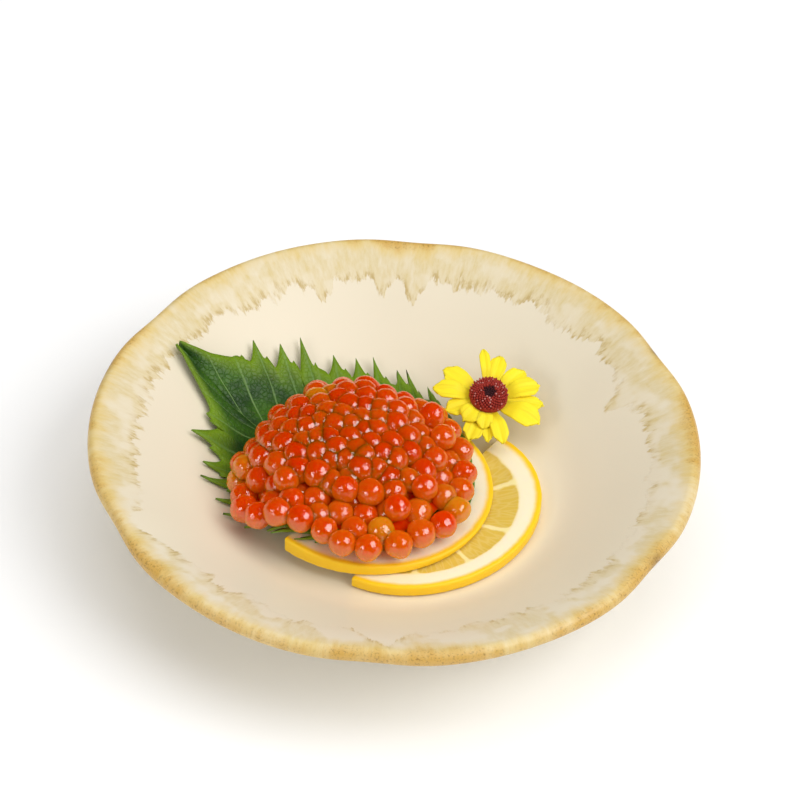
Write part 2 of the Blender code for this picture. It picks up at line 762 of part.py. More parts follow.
def heart_of_heap(towards):
    """The middle of the heap, level with the lowest eggs on the side that a direction faces."""
    towards = towards.normalized()
    edge = Vector(HEAP_CENTRE) + towards * HEAP_EDGE * heap_reach(math.atan2(towards.y, towards.x))
    return Vector((*HEAP_CENTRE, under_roe(edge.x, edge.y) + EGG_DIAMETER / 2.0))


def dome_share(out, heart_height, depth):
    """1 for a point at a depth under the surface of the heap, and less for one further inside.

    The point is given from the heart of the heap.
    """
    height = HEAP_TOP * (1.0 + HEAP_LEAN * out.y / HEAP_HALF_DEPTH) - heart_height
    flat = out.xy.length / (heap_reach(math.atan2(out.y, out.x)) - depth)
    high = max(out.z, 0.0) / (height - depth)
    return max(math.hypot(flat, high), 0.001)


def on_heap(place, depth, at_foot=False, inside=False):
    """Move a point straight out from the heart of the heap to a depth under its surface.

    A point at the foot of the heap is moved along the ground to the outline instead, and one
    that may lie inside is moved only if it is above that depth.
    """
    heart = heart_of_heap(place.xy - Vector(HEAP_CENTRE))
    out = place - heart
    if at_foot:
        out.z = 0.0
    share = dome_share(out, heart.z, depth)
    if share > 1.0 or not inside:
        place = heart + out / share
    low = under_roe(place.x, place.y) + EGG_DIAMETER / 2.0
    high = low if at_foot else under_petals(place.x, place.y) - depth
    place.z = max(min(place.z, high), low)
    return place


def start_place(towards, depth, at_foot=False):
    """Where a straight line from the heart of the heap comes to a depth under its surface."""
    return on_heap(heart_of_heap(towards.xy) + towards * HEAP_HALF_WIDTH, depth, at_foot)


def egg_layout():
    """Places and radii of the eggs in the heap, pushed apart until they lie side by side.

    The first of them form the ring at the foot of the heap, and the others fill it.
    """
    rng = random.Random(HEAP_SEED)
    radii = []
    depths = []
    places = []
    for index in range(EGG_COUNT):
        radii.append(EGG_DIAMETER / 2.0 * (1.0 + rng.uniform(-EGG_SPREAD, EGG_SPREAD)))
        at_foot = index < FOOT_EGGS
        height = 0.0 if at_foot else rng.random()
        turn = rng.random() * 2.0 * math.pi
        if at_foot:
            turn = (index + rng.random()) * 2.0 * math.pi / FOOT_EGGS
        flat = math.sqrt(1.0 - height * height)
        towards = Vector((math.cos(turn) * flat, math.sin(turn) * flat, height))
        reach = 1.0 if at_foot else rng.random() ** (1.0 / 3.0)
        heart = heart_of_heap(towards.xy)
        surface = start_place(towards, radii[-1], at_foot)
        places.append(heart + (surface - heart) * reach)
        unevenness = FOOT_UNEVENNESS if at_foot else EGG_UNEVENNESS
        depths.append(radii[-1] * (1.0 + unevenness * rng.random() ** 2))
    radii = np.array(radii)
    places = np.array(places)
    contact = (radii[:, None] + radii[None, :]) * EGG_SPACING
    np.fill_diagonal(contact, 0.0)
    for _ in range(SETTLE_STEPS):
        offset = places[:, None, :] - places[None, :, :]
        distance = np.sqrt((offset**2).sum(axis=2)) + 1e-9
        push = np.maximum(contact - distance, 0.0) / distance
        places = places + SETTLE_PUSH * (offset * push[:, :, None]).sum(axis=1)
        for index, place in enumerate(places):
            at_foot = index < FOOT_EGGS
            places[index] = on_heap(Vector(place), depths[index], at_foot, not at_foot)
    for index, (x, y, z) in enumerate(places):
        places[index][2] = max(z, resting_height(x, y, radii[index] * EGG_FULLNESS))
    return places, radii


def egg_shows(place, radius):
    """Whether an egg lies near enough to the surface of the heap to show."""
    heart = heart_of_heap(place.xy - Vector(HEAP_CENTRE))
    return dome_share(place - heart, heart.z, radius) > EGG_SHOWS


def core_mesh():
    """The inside of the heap, from just above what it lies on to the middle of the eggs."""
    bm = bmesh.new()
    bmesh.ops.create_uvsphere(bm, u_segments=CORE_SEGMENTS, v_segments=CORE_RINGS, radius=1.0)
    for vert in bm.verts:
        top = start_place(Vector((vert.co.x, vert.co.y, abs(vert.co.z))), CORE_INSET)
        if vert.co.z < 0.0:
            top.z = under_roe(top.x, top.y) + CORE_CLEARANCE
        vert.co = top
    return mesh_from(bm, "salmon_roe")


def make_roe(collection):
    """A core with the eggs that show joined onto it."""
    red = make_material("salmon_roe", (0.78, 0.13, 0.03), 0.2)
    roe = add_object("salmon_roe", core_mesh(), red, collection)
    pieces = bpy.data.collections.new("eggs_to_join")
    bpy.context.scene.collection.children.link(pieces)
    places, radii = egg_layout()
    for index, place in enumerate(places):
        if not egg_shows(Vector(place), radii[index]):
            continue
        bm = bmesh.new()
        bmesh.ops.create_icosphere(bm, subdivisions=1, radius=radii[index] * EGG_FULLNESS)
        turn = Matrix.Rotation(index * EGG_TURNS[0], 3, "Z")
        turn = turn @ Matrix.Rotation(index * EGG_TURNS[1], 3, "X")
        bmesh.ops.rotate(bm, matrix=turn, verts=bm.verts)
        bmesh.ops.translate(bm, vec=place, verts=bm.verts)
        add_object("egg", mesh_from(bm, "egg"), red, pieces)
    join_collection(roe, pieces)


def main():
    """Build the plate and everything on it in an empty scene."""
    for obj in list(bpy.data.objects):
        bpy.data.objects.remove(obj)
    collection = bpy.data.collections.new(COLLECTION)
    bpy.context.scene.collection.children.link(collection)
    make_plate(collection)
    make_lemon(collection)
    make_leaf(collection)
    make_roe(collection)
    make_petals(collection)
    make_disc(collection)
    make_calyx(collection)


main()
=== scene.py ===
"""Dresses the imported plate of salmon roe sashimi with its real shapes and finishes.

A loose heap of roe lies on one green shiso leaf over two half slices of lemon, and a yellow
flower leans beside it, on a lobed stoneware plate. Every shape stands in the frame of the
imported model: metres, +Z up, the origin under the middle of the plate.
"""

import math
import random
from functools import partial

import bmesh
import bpy
import numpy as np
from mathutils import Matrix, Vector, noise


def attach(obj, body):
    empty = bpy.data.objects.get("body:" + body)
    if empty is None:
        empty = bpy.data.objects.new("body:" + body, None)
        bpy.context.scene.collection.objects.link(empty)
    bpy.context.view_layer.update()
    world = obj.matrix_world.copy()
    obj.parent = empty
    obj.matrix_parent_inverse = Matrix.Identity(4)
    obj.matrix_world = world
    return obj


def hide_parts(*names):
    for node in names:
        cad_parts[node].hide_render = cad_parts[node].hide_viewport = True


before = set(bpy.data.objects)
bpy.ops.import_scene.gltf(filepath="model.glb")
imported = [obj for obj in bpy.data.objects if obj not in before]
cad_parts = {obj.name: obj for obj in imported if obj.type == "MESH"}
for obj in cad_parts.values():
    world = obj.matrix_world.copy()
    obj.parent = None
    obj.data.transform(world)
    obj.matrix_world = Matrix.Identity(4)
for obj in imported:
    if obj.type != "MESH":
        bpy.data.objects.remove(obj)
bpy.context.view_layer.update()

bl_info = {
    "name": "Salmon Roe Sashimi",
    "version": (1, 0, 0),
    "blender": (4, 5, 0),
    "location": "3D View > Sidebar > Salmon Roe",
    "description": "Shapes and finishes of a plate of salmon roe sashimi",
    "category": "Add Mesh",
}

MM = 0.001
BODY = "root"
IMAGE_SIZE = 800.0
MERGE_DISTANCE = 0.002 * MM

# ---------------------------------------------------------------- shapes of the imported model

# Plate: a shallow bowl with six soft lobes on a turned foot ring.
RIM_RADIUS = 77.4 * MM
RIM_HEIGHT = 31.0 * MM
FLOOR_RADIUS = 38.0 * MM
FLOOR_HEIGHT = 11.4 * MM
WALL_RADIUS = 52.0 * MM
WALL_HEIGHT = 18.0 * MM
WALL_SLOPE = 0.62
WALL_THICKNESS = 5.2 * MM
LIP_RADIUS = 2.0 * MM
LIP_START = math.radians(110.0)
LIP_END = math.radians(-65.0)
FOOT_RADIUS = 38.2 * MM
FOOT_WIDTH = 5.4 * MM
FOOT_ROUNDING = 0.7 * MM
FOOT_TOP = 6.4 * MM
FOOT_SLOPE = 0.30
LOBES = 6
NOTCH_ANGLE = math.radians(27.6)
NOTCH_DEPTH = 0.0156
NOTCH_WIDTH = 0.137

# Lemon: two half slices. The front one lies on the floor, the back one lies on it.
GAP = 0.3 * MM
# Each slice: its centre, its half axes and their turn, and the angle and offset of its
# straight cut.
FRONT_SLICE = (
    (7.2 * MM, -7.6 * MM), (33.0 * MM, 28.8 * MM), math.radians(44.0),
    math.radians(56.0), -2.2 * MM,
)
BACK_SLICE = (
    (-5.4 * MM, -4.4 * MM), (31.4 * MM, 30.6 * MM), math.radians(32.0),
    math.radians(48.0), 0.0,
)
FRONT_BOTTOM = FLOOR_HEIGHT + GAP
FRONT_THICKNESS = 3.1 * MM
FRONT_TOP = FRONT_BOTTOM + FRONT_THICKNESS
BACK_BOTTOM = FRONT_TOP + GAP
BACK_THICKNESS = 3.1 * MM
BACK_THINNING = -0.062
SLICE_ROUNDING = 0.55 * MM

# Shiso leaf: one broad toothed leaf with its tip up on the wall of the plate.
LEAF_BASE = (19.0 * MM, -12.0 * MM)
LEAF_TIP = (-57.5 * MM, 31.3 * MM)
# Each half of the blade: its width, how near to the base it is widest, the share of the length
# where it begins to draw in to the tip, and the share where its teeth end.
LEAF_BACK_HALF = (35.0 * MM, 0.75, 0.82, 0.885)
LEAF_FRONT_HALF = (33.2 * MM, 0.62, 0.70, 0.84)
LEAF_TIP_WIDTH = 0.8 * MM
LEAF_TIP_PINCH = 0.45
LEAF_PINCH_LENGTH = 0.16
LEAF_THICKNESS = 0.6 * MM
LEAF_CLEARANCE = 0.75 * MM
LEAF_TEETH = 15
TOOTH_LENGTH = 6.2 * MM
TOOTH_FORWARD = 3.2 * MM
TOOTH_GROWTH = 0.15
TOOTH_END = 0.08
VEIN_SWEEP = 1.9
MARGIN_LIFT = 1.4 * MM
MARGIN_START = 0.45
TIP_LIFT = 1.0 * MM
TIP_START = 0.80
PRESSED_SHARE = 1.08
FREE_SHARE = 1.35
DRAPE_REACH = 2.2 * MM
DRAPE_SLOPE = 0.75
SLICE_BLEND = 3.0 * MM
PLATE_BLEND = 7.0 * MM
LEAF_EDGE_STEP = (0.5 * MM, 4.0 * MM)

# Roe: loose eggs in an uneven heap.
EGG_DIAMETER = 6.8 * MM
EGG_SPREAD = 0.06
EGG_COUNT = 206
FOOT_EGGS = 24
EGG_SHOWS = 0.6
EGG_FULLNESS = 1.05
EGG_SPACING = 1.02
EGG_UNEVENNESS = 1.0
FOOT_UNEVENNESS = 0.3
EGG_CLEARANCE = 0.4 * MM
HEAP_CENTRE = (-10.8 * MM, -2.6 * MM)
HEAP_HALF_WIDTH = 32.2 * MM
HEAP_HALF_DEPTH = 32.0 * MM
HEAP_TOP = 35.6 * MM
HEAP_LEAN = 0.07
HEAP_EDGE = 0.88
# Where the outline of the heap swells or draws in: direction, amount and width of each.
HEAP_BULGES = (
    (math.radians(-112.0), -3.6 * MM, 0.30), (math.radians(-48.0), 1.6 * MM, 0.40),
    (math.radians(48.0), -1.2 * MM, 0.35), (math.radians(152.0), -4.0 * MM, 0.35),
    (math.radians(-144.0), 2.0 * MM, 0.15), (math.radians(-80.0), 2.6 * MM, 0.75),
    (math.radians(-178.0), 0.6 * MM, 0.15), (math.radians(-24.0), 1.0 * MM, 0.20),
)
HEAP_SEED = 3
TOUCH_RINGS = (0.5, 0.85)
TOUCH_POINTS = 8
SETTLE_STEPS = 140
SETTLE_PUSH = 0.35

# Flower: one row of petals and a few behind it, round a domed disc.
FLOWER_CENTRE = (23.6 * MM, 24.3 * MM, 22.4 * MM)
FLOWER_TILT = math.radians(15.0)
FLOWER_LEAN = math.radians(5.0)
# Each petal: its direction in degrees, its length and width in millimetres, and 1 if it lies
# in front or 0 if it lies behind its neighbours.
PETALS = (
    (97.0, 14.4, 2.8, 1), (77.0, 13.6, 4.4, 0), (44.0, 13.4, 5.4, 0), (20.0, 14.4, 5.6, 1),
    (-3.0, 14.8, 4.0, 0), (-26.0, 15.4, 6.8, 1), (-73.0, 14.8, 4.4, 1), (-89.0, 13.8, 2.8, 0),
    (-96.0, 10.6, 4.2, 1), (-109.0, 14.6, 5.2, 0), (-127.0, 10.6, 5.4, 1), (-154.0, 12.4, 5.0, 0),
    (177.0, 14.8, 5.4, 1), (148.0, 14.2, 5.6, 0),
)
PETAL_THICKNESS = 0.5 * MM
PETAL_RISE = 0.5 * MM
PETAL_STEP = 1.1 * MM
PETAL_REACH = 15.4 * MM
PETAL_CLEARANCE = 1.6 * MM
PETAL_START = 2.5 * MM
PETAL_ROOT = 0.45
PETAL_FULL = 0.65
PETAL_HOLLOW = 0.08
PETAL_CURVE = 0.8
PETAL_BEND = (0.18, 0.5)
HUB_HEIGHT = 1.3 * MM
DISC_RADIUS = 5.4 * MM
DISC_HEIGHT = 3.0 * MM
CALYX_RADIUS = 3.6 * MM
CALYX_DEPTH = 4.0 * MM
CALYX_TOP = -1.0 * MM
STEM_RADIUS = 1.2 * MM
STEM_LENGTH = 5.6 * MM


def smoothstep(low, high, value):
    """0 below low, 1 above high, with a soft change between them."""
    t = min(max((value - low) / (high - low), 0.0), 1.0)
    return t * t * (3.0 - 2.0 * t)


def hermite(x, x0, y0, slope0, x1, y1, slope1):
    """Height at x on the smooth curve between two points of known slope."""
    span = x1 - x0
    t = (x - x0) / span
    start = y0 * (2.0 * t**3 - 3.0 * t**2 + 1.0) + slope0 * span * (t**3 - 2.0 * t**2 + t)
    end = y1 * (3.0 * t**2 - 2.0 * t**3) + slope1 * span * (t**3 - t**2)
    return start + end


def soft_max(a, b, blend):
    """The larger of two heights, rounded off where they meet."""
    h = max(blend - abs(a - b), 0.0) / blend
    return max(a, b) + h * h * blend * 0.25


def lip_point(angle):
    """A point of the round lip, as radius and height."""
    radius = RIM_RADIUS - LIP_RADIUS + LIP_RADIUS * math.cos(angle)
    height = RIM_HEIGHT - LIP_RADIUS + LIP_RADIUS * math.sin(angle)
    return radius, height


def turned_top(radius):
    """Height of the eating surface before the lobes are pressed in."""
    lip_radius, lip_height = lip_point(LIP_START)
    lip_slope = math.tan(LIP_START - math.pi / 2.0)
    if radius <= FLOOR_RADIUS:
        return FLOOR_HEIGHT
    if radius <= WALL_RADIUS:
        return hermite(
            radius, FLOOR_RADIUS, FLOOR_HEIGHT, 0.0, WALL_RADIUS, WALL_HEIGHT, WALL_SLOPE
        )
    radius = min(radius, lip_radius)
    return hermite(radius, WALL_RADIUS, WALL_HEIGHT, WALL_SLOPE, lip_radius, lip_height, lip_slope)


def turned_bottom(radius):
    """Height of the outer wall between the foot ring and the lip."""
    lip_radius, lip_height = lip_point(LIP_END)
    lip_slope = -1.0 / math.tan(LIP_END)
    wall = WALL_HEIGHT - WALL_THICKNESS
    if radius <= WALL_RADIUS:
        return hermite(radius, FOOT_RADIUS, FOOT_TOP, FOOT_SLOPE, WALL_RADIUS, wall, WALL_SLOPE)
    return hermite(radius, WALL_RADIUS, wall, WALL_SLOPE, lip_radius, lip_height, lip_slope)


def lobe_scale(angle, radius):
    """How far a point is pressed in: 1 on a lobe, a little less at a notch of the rim."""
    step = 2.0 * math.pi / LOBES
    offset = (angle - NOTCH_ANGLE + step / 2.0) % step - step / 2.0
    pinch = NOTCH_DEPTH * math.exp(-((offset / NOTCH_WIDTH) ** 2))
    return 1.0 - pinch * smoothstep(FLOOR_RADIUS, RIM_RADIUS, radius)


def plate_top(x, y):
    """Height of the eating surface at a place on the plate."""
    radius = math.hypot(x, y)
    return turned_top(radius / lobe_scale(math.atan2(y, x), radius))


def back_top(x):
    """Upper face of the back slice, which is cut thicker at its left end."""
    return BACK_BOTTOM + BACK_THICKNESS + BACK_THINNING * (x - BACK_SLICE[0][0])


def slice_distance(x, y, half_slice):
    """Distance outside a slice's rind or beyond its straight cut, negative on the slice."""
    centre, half_axes, turn, cut_angle, cut_offset = half_slice
    dx, dy = x - centre[0], y - centre[1]
    along = dx * math.cos(turn) + dy * math.sin(turn)
    across = dy * math.cos(turn) - dx * math.sin(turn)
    reach = math.hypot(along / half_axes[0], across / half_axes[1])
    to_cut = dy * math.cos(cut_angle) - dx * math.sin(cut_angle) - cut_offset
    return max((reach - 1.0) * min(half_axes), to_cut)


def heap_reach(angle):
    """How far the heap spreads from its middle at an angle."""
    reach = 1.0 / math.hypot(math.cos(angle) / HEAP_HALF_WIDTH, math.sin(angle) / HEAP_HALF_DEPTH)
    for where, size, width in HEAP_BULGES:
        turn = (angle - where + math.pi) % (2.0 * math.pi) - math.pi
        reach += size * math.exp(-((turn / width) ** 2))
    return reach


def heap_share(x, y):
    """0 in the middle of the heap, 1 at its outline."""
    dx = x - HEAP_CENTRE[0]
    dy = y - HEAP_CENTRE[1]
    return math.hypot(dx, dy) / heap_reach(math.atan2(dy, dx))


def leaf_frame():
    """The leaf's base, its direction to the tip, the direction across, and its length."""
    base = Vector(LEAF_BASE)
    along = Vector(LEAF_TIP) - base
    length = along.length
    along.normalize()
    across = Vector((along.y, -along.x))
    return base, along, across, length


def leaf_half_width(share, side):
    """Half width of the blade at a share of its length; the two halves differ a little."""
    width, fullness, drawn_in, _ = LEAF_BACK_HALF if side > 0.0 else LEAF_FRONT_HALF
    rounded = math.sin(math.pi * min(max(share, 0.0), 1.0) ** fullness)
    pinch = 1.0 - LEAF_TIP_PINCH * smoothstep(drawn_in, drawn_in + LEAF_PINCH_LENGTH, share)
    return width * rounded * pinch + LEAF_TIP_WIDTH


def draped(distance, top):
    """Height of a leaf that falls off the edge of a slice."""
    return top - DRAPE_SLOPE * max(distance - DRAPE_REACH, 0.0)


def under_leaf(x, y):
    """What the leaf lies on: the plate, and the slices with the leaf's fall from them."""
    on_front = draped(slice_distance(x, y, FRONT_SLICE), FRONT_TOP)
    on_back = draped(slice_distance(x, y, BACK_SLICE), back_top(x))
    slices = soft_max(on_front, on_back, SLICE_BLEND)
    return soft_max(plate_top(x, y), slices, PLATE_BLEND)


def leaf_height(x, y):
    """Height of the leaf's middle where nothing lifts it."""
    return under_leaf(x, y) + LEAF_CLEARANCE + LEAF_THICKNESS / 2.0


def on_leaf(x, y):
    """1 on the leaf and its teeth, 0 a little way outside it."""
    base, along, across, length = leaf_frame()
    place = Vector((x, y)) - base
    share = place.dot(along) / length
    if share < 0.0 or share > 1.0:
        return 0.0
    side = place.dot(across)
    beyond = abs(side) - leaf_half_width(share, side) - TOOTH_LENGTH / 2.0
    return 1.0 - smoothstep(*LEAF_EDGE_STEP, beyond)


def flower_matrix():
    """From the flower's own frame, with its face up, to its place on the plate."""
    tilt = Matrix.Rotation(FLOWER_TILT, 4, "X") @ Matrix.Rotation(FLOWER_LEAN, 4, "Y")
    return Matrix.Translation(FLOWER_CENTRE) @ tilt


def under_petals(x, y):
    """Height just below the petals where they spread, and far above them elsewhere."""
    flat = Vector((x, y, FLOWER_CENTRE[2]))
    if (flower_matrix().inverted() @ flat).xy.length > PETAL_REACH + EGG_DIAMETER / 2.0:
        return math.inf
    rise = (y - FLOWER_CENTRE[1]) * math.tan(FLOWER_TILT)
    rise -= (x - FLOWER_CENTRE[0]) * math.tan(FLOWER_LEAN)
    return FLOWER_CENTRE[2] + rise - PETAL_CLEARANCE


def under_roe(x, y):
    """What the roe lies on: the leaf where it reaches, and otherwise the slices and the plate."""
    bare = plate_top(x, y)
    if slice_distance(x, y, FRONT_SLICE) < 0.0:
        bare = max(bare, FRONT_TOP)
    if slice_distance(x, y, BACK_SLICE) < 0.0:
        bare = max(bare, back_top(x))
    leaf = leaf_height(x, y) + LEAF_THICKNESS / 2.0
    return bare + (leaf - bare) * on_leaf(x, y) + GAP


def resting_height(x, y, radius):
    """Height of the middle of an egg that lies on what is under it, which may be a slope."""
    height = under_roe(x, y) + EGG_CLEARANCE + radius
    for share in TOUCH_RINGS:
        rise = radius * math.sqrt(1.0 - share * share)
        for turn in range(TOUCH_POINTS):
            angle = turn * 2.0 * math.pi / TOUCH_POINTS
            beside_x = x + radius * share * math.cos(angle)
            beside_y = y + radius * share * math.sin(angle)
            height = max(height, under_roe(beside_x, beside_y) + EGG_CLEARANCE + rise)
    return height


def heart_of_heap(towards):
    """The middle of the heap, level with the lowest eggs on the side that a direction faces."""
    towards = towards.normalized()
    edge = Vector(HEAP_CENTRE) + towards * HEAP_EDGE * heap_reach(math.atan2(towards.y, towards.x))
    return Vector((*HEAP_CENTRE, under_roe(edge.x, edge.y) + EGG_DIAMETER / 2.0))


def dome_share(out, heart_height, depth):
    """1 for a point at a depth under the surface of the heap, and less for one further inside.

    The point is given from the heart of the heap.
    """
    height = HEAP_TOP * (1.0 + HEAP_LEAN * out.y / HEAP_HALF_DEPTH) - heart_height
    flat = out.xy.length / (heap_reach(math.atan2(out.y, out.x)) - depth)
    high = max(out.z, 0.0) / (height - depth)
    return max(math.hypot(flat, high), 0.001)


def on_heap(place, depth, at_foot=False, inside=False):
    """Move a point straight out from the heart of the heap to a depth under its surface.

    A point at the foot of the heap is moved along the ground to the outline instead, and one
    that may lie inside is moved only if it is above that depth.
    """
    heart = heart_of_heap(place.xy - Vector(HEAP_CENTRE))
    out = place - heart
    if at_foot:
        out.z = 0.0
    share = dome_share(out, heart.z, depth)
    if share > 1.0 or not inside:
        place = heart + out / share
    low = under_roe(place.x, place.y) + EGG_DIAMETER / 2.0
    high = low if at_foot else under_petals(place.x, place.y) - depth
    place.z = max(min(place.z, high), low)
    return place


def start_place(towards, depth, at_foot=False):
    """Where a straight line from the heart of the heap comes to a depth under its surface."""
    return on_heap(heart_of_heap(towards.xy) + towards * HEAP_HALF_WIDTH, depth, at_foot)


def egg_layout():
    """Places and radii of the eggs in the heap, pushed apart until they lie side by side.

    The first of them form the ring at the foot of the heap, and the others fill it.
    """
    rng = random.Random(HEAP_SEED)
    radii = []
    depths = []
    places = []
    for index in range(EGG_COUNT):
        radii.append(EGG_DIAMETER / 2.0 * (1.0 + rng.uniform(-EGG_SPREAD, EGG_SPREAD)))
        at_foot = index < FOOT_EGGS
        height = 0.0 if at_foot else rng.random()
        turn = rng.random() * 2.0 * math.pi
        if at_foot:
            turn = (index + rng.random()) * 2.0 * math.pi / FOOT_EGGS
        flat = math.sqrt(1.0 - height * height)
        towards = Vector((math.cos(turn) * flat, math.sin(turn) * flat, height))
        reach = 1.0 if at_foot else rng.random() ** (1.0 / 3.0)
        heart = heart_of_heap(towards.xy)
        surface = start_place(towards, radii[-1], at_foot)
        places.append(heart + (surface - heart) * reach)
        unevenness = FOOT_UNEVENNESS if at_foot else EGG_UNEVENNESS
        depths.append(radii[-1] * (1.0 + unevenness * rng.random() ** 2))
    radii = np.array(radii)
    places = np.array(places)
    contact = (radii[:, None] + radii[None, :]) * EGG_SPACING
    np.fill_diagonal(contact, 0.0)
    for _ in range(SETTLE_STEPS):
        offset = places[:, None, :] - places[None, :, :]
        distance = np.sqrt((offset**2).sum(axis=2)) + 1e-9
        push = np.maximum(contact - distance, 0.0) / distance
        places = places + SETTLE_PUSH * (offset * push[:, :, None]).sum(axis=1)
        for index, place in enumerate(places):
            at_foot = index < FOOT_EGGS
            places[index] = on_heap(Vector(place), depths[index], at_foot, not at_foot)
    for index, (x, y, z) in enumerate(places):
        places[index][2] = max(z, resting_height(x, y, radii[index] * EGG_FULLNESS))
    return places, radii


def egg_shows(place, radius):
    """Whether an egg lies near enough to the surface of the heap to show."""
    heart = heart_of_heap(place.xy - Vector(HEAP_CENTRE))
    return dome_share(place - heart, heart.z, radius) > EGG_SHOWS


# ---------------------------------------------------------------- helpers


def to_linear(hex_color):
    """An sRGB hex colour as linear red, green and blue."""
    channels = [int(hex_color[start : start + 2], 16) / 255.0 for start in (1, 3, 5)]
    return tuple(c / 12.92 if c <= 0.04045 else ((c + 0.055) / 1.055) ** 2.4 for c in channels)


def set_inputs(node, inputs):
    """Link or set inputs of a node, given by name or place, or in order from the first."""
    for key, value in inputs.items() if isinstance(inputs, dict) else enumerate(inputs):
        socket = node.inputs[key]
        if isinstance(value, bpy.types.NodeSocket):
            node.id_data.links.new(value, socket)
        else:
            socket.default_value = (*value, 1.0) if socket.type == "RGBA" else value


def add_node(tree, kind, inputs=(), output=0, **settings):
    """Add a shader node with its settings and inputs, and give back one of its outputs."""
    node = tree.nodes.new("ShaderNode" + kind)
    for name, value in settings.items():
        setattr(node, name, value)
    set_inputs(node, inputs)
    return node.outputs[output]


# Settings that nodes share, and the sockets of a Mix node that lays one colour over another.
SOFT = {"interpolation_type": "SMOOTHSTEP"}
TO_EDGE = {"feature": "DISTANCE_TO_EDGE"}
COLORS = {"data_type": "RGBA"}
FACTOR = 0
UNDER = 6
OVER = 7
BLEND = 2


def new_material(name):
    """An empty material, the way to add nodes to it, and its Principled shader."""
    material = bpy.data.materials.new(name)
    material.use_nodes = True
    tree = material.node_tree
    return material, partial(add_node, tree), tree.nodes["Principled BSDF"]


def spin_profile(profile, steps):
    """A mesh turned round the upright axis from a profile of radii and heights."""
    bm = bmesh.new()
    points = [bm.verts.new((radius, 0.0, height)) for radius, height in profile]
    edges = [bm.edges.new(pair) for pair in zip(points, points[1:])]
    bmesh.ops.spin(
        bm, geom=points + edges, cent=(0.0, 0.0, 0.0), axis=(0.0, 0.0, 1.0),
        angle=2.0 * math.pi, steps=steps, use_merge=True,
    )
    bmesh.ops.remove_doubles(bm, verts=bm.verts, dist=MERGE_DISTANCE)
    return bm


def keep_piece(bm, name, material, node, sharp=math.pi):
    """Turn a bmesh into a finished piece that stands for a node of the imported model."""
    mesh = bpy.data.meshes.new(name)
    bm.to_mesh(mesh)
    bm.free()
    mesh.materials.append(material)
    mesh.shade_smooth()
    if sharp < math.pi:
        mesh.set_sharp_from_angle(angle=sharp)
    piece = bpy.data.objects.new(name, mesh)
    bpy.context.scene.collection.objects.link(piece)
    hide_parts(node)
    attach(piece, BODY)
    return piece


def thicken(piece, thickness):
    """Give a sheet its thickness, half of it on each side."""
    solidify = piece.modifiers.new("thickness", "SOLIDIFY")
    solidify.thickness = thickness
    solidify.offset = 0.0


def spaced(first, last, count):
    """count values from first to last, both included, with equal steps."""
    return [first + (last - first) * index / (count - 1) for index in range(count)]


# ---------------------------------------------------------------- plate


class GlazeSettings(bpy.types.PropertyGroup):
    """Sizes and colours of the stoneware plate and its glaze."""

    cream: bpy.props.FloatVectorProperty(
        name="Cream glaze", description="Colour of the glaze in the well of the plate",
        subtype="COLOR", default=to_linear("#EADFC6"), min=0.0, max=1.0,
    )
    ash: bpy.props.FloatVectorProperty(
        name="Ash glaze", description="Colour of the second glaze that runs down from the rim",
        subtype="COLOR", default=to_linear("#D6C07E"), min=0.0, max=1.0,
    )
    amber: bpy.props.FloatVectorProperty(
        name="Rim", description="Colour of the rim, where both glazes run thin", subtype="COLOR",
        default=to_linear("#CF9F3F"), min=0.0, max=1.0,
    )
    honey: bpy.props.FloatVectorProperty(
        name="Below the rim", description="Colour where the ash glaze thins towards the rim",
        subtype="COLOR", default=to_linear("#E2C268"), min=0.0, max=1.0,
    )
    pooled: bpy.props.FloatVectorProperty(
        name="Pooled ash", description="Colour where the ash glaze gathers at the tips of its runs",
        subtype="COLOR", default=to_linear("#BCA062"), min=0.0, max=1.0,
    )
    iron: bpy.props.FloatVectorProperty(
        name="Iron specks", description="Colour of the iron that comes through the glaze",
        subtype="COLOR", default=to_linear("#5A3818"), min=0.0, max=1.0,
    )
    clay: bpy.props.FloatVectorProperty(
        name="Bare clay", description="Colour of the unglazed foot", subtype="COLOR",
        default=to_linear("#C9A983"), min=0.0, max=1.0,
    )
    unevenness: bpy.props.FloatProperty(
        name="Unevenness", description="How far the wall of the plate wanders up and down by hand",
        subtype="DISTANCE", default=0.25 * MM, min=0.0, max=1.0 * MM,
    )
    segments: bpy.props.IntProperty(
        name="Segments", description="Steps round the plate", default=320, min=48, max=480
    )


TOP_STEPS = 44
LIP_STEPS = 12
WALL_STEPS = 20
# How far from the middle of the plate the ash glaze ends, apart from its runs.
ASH_EDGE = 65.3 * MM
# Where a run of ash glaze reaches further in, or where it draws back to the rim: direction in
# degrees, how far in millimetres, and half its width in degrees.
ASH_RUNS = (
    (22.0, 6.5, 3.0), (87.0, 6.8, 1.8), (95.0, 5.0, 1.6), (109.5, 4.6, 2.6),
    (209.5, -8.5, 6.0), (269.5, -8.5, 3.4), (290.0, 4.4, 5.0), (299.0, 3.4, 2.6),
    (40.0, -2.0, 3.0), (57.6, -3.0, 2.5), (136.6, -2.2, 3.0), (239.0, 3.2, 2.4),
)
# The edge of the ash glaze is torn into tongues that run straight down the wall. They are about
# RUN_WIDTH wide and some times as long, and ASH_RAGGED sets how far they reach in and out.
RUN_WIDTH = 3.0 * MM
RUN_STRETCH = 0.30
ASH_RAGGED = 13.0 * MM
ASH_SOFTNESS = 0.45 * MM
MOTTLE_SIZE = 22.0 * MM
PATCH_SIZE = 9.0 * MM
# The ash glaze is thick on the far side of the plate and thin, in patches, on the rest.
THICK_TOWARDS = math.radians(100.0)
ASH_BODY = 0.72
ASH_BODY_GAIN = 0.42
CRYSTAL_SIZE = 1.4 * MM
SPECK_SIZE = 0.55 * MM
# The amber zone on the rim: how wide it is, and how much that varies round the plate.
RIM_WIDTH = 3.6 * MM
RIM_VARIATION = 10.0 * MM
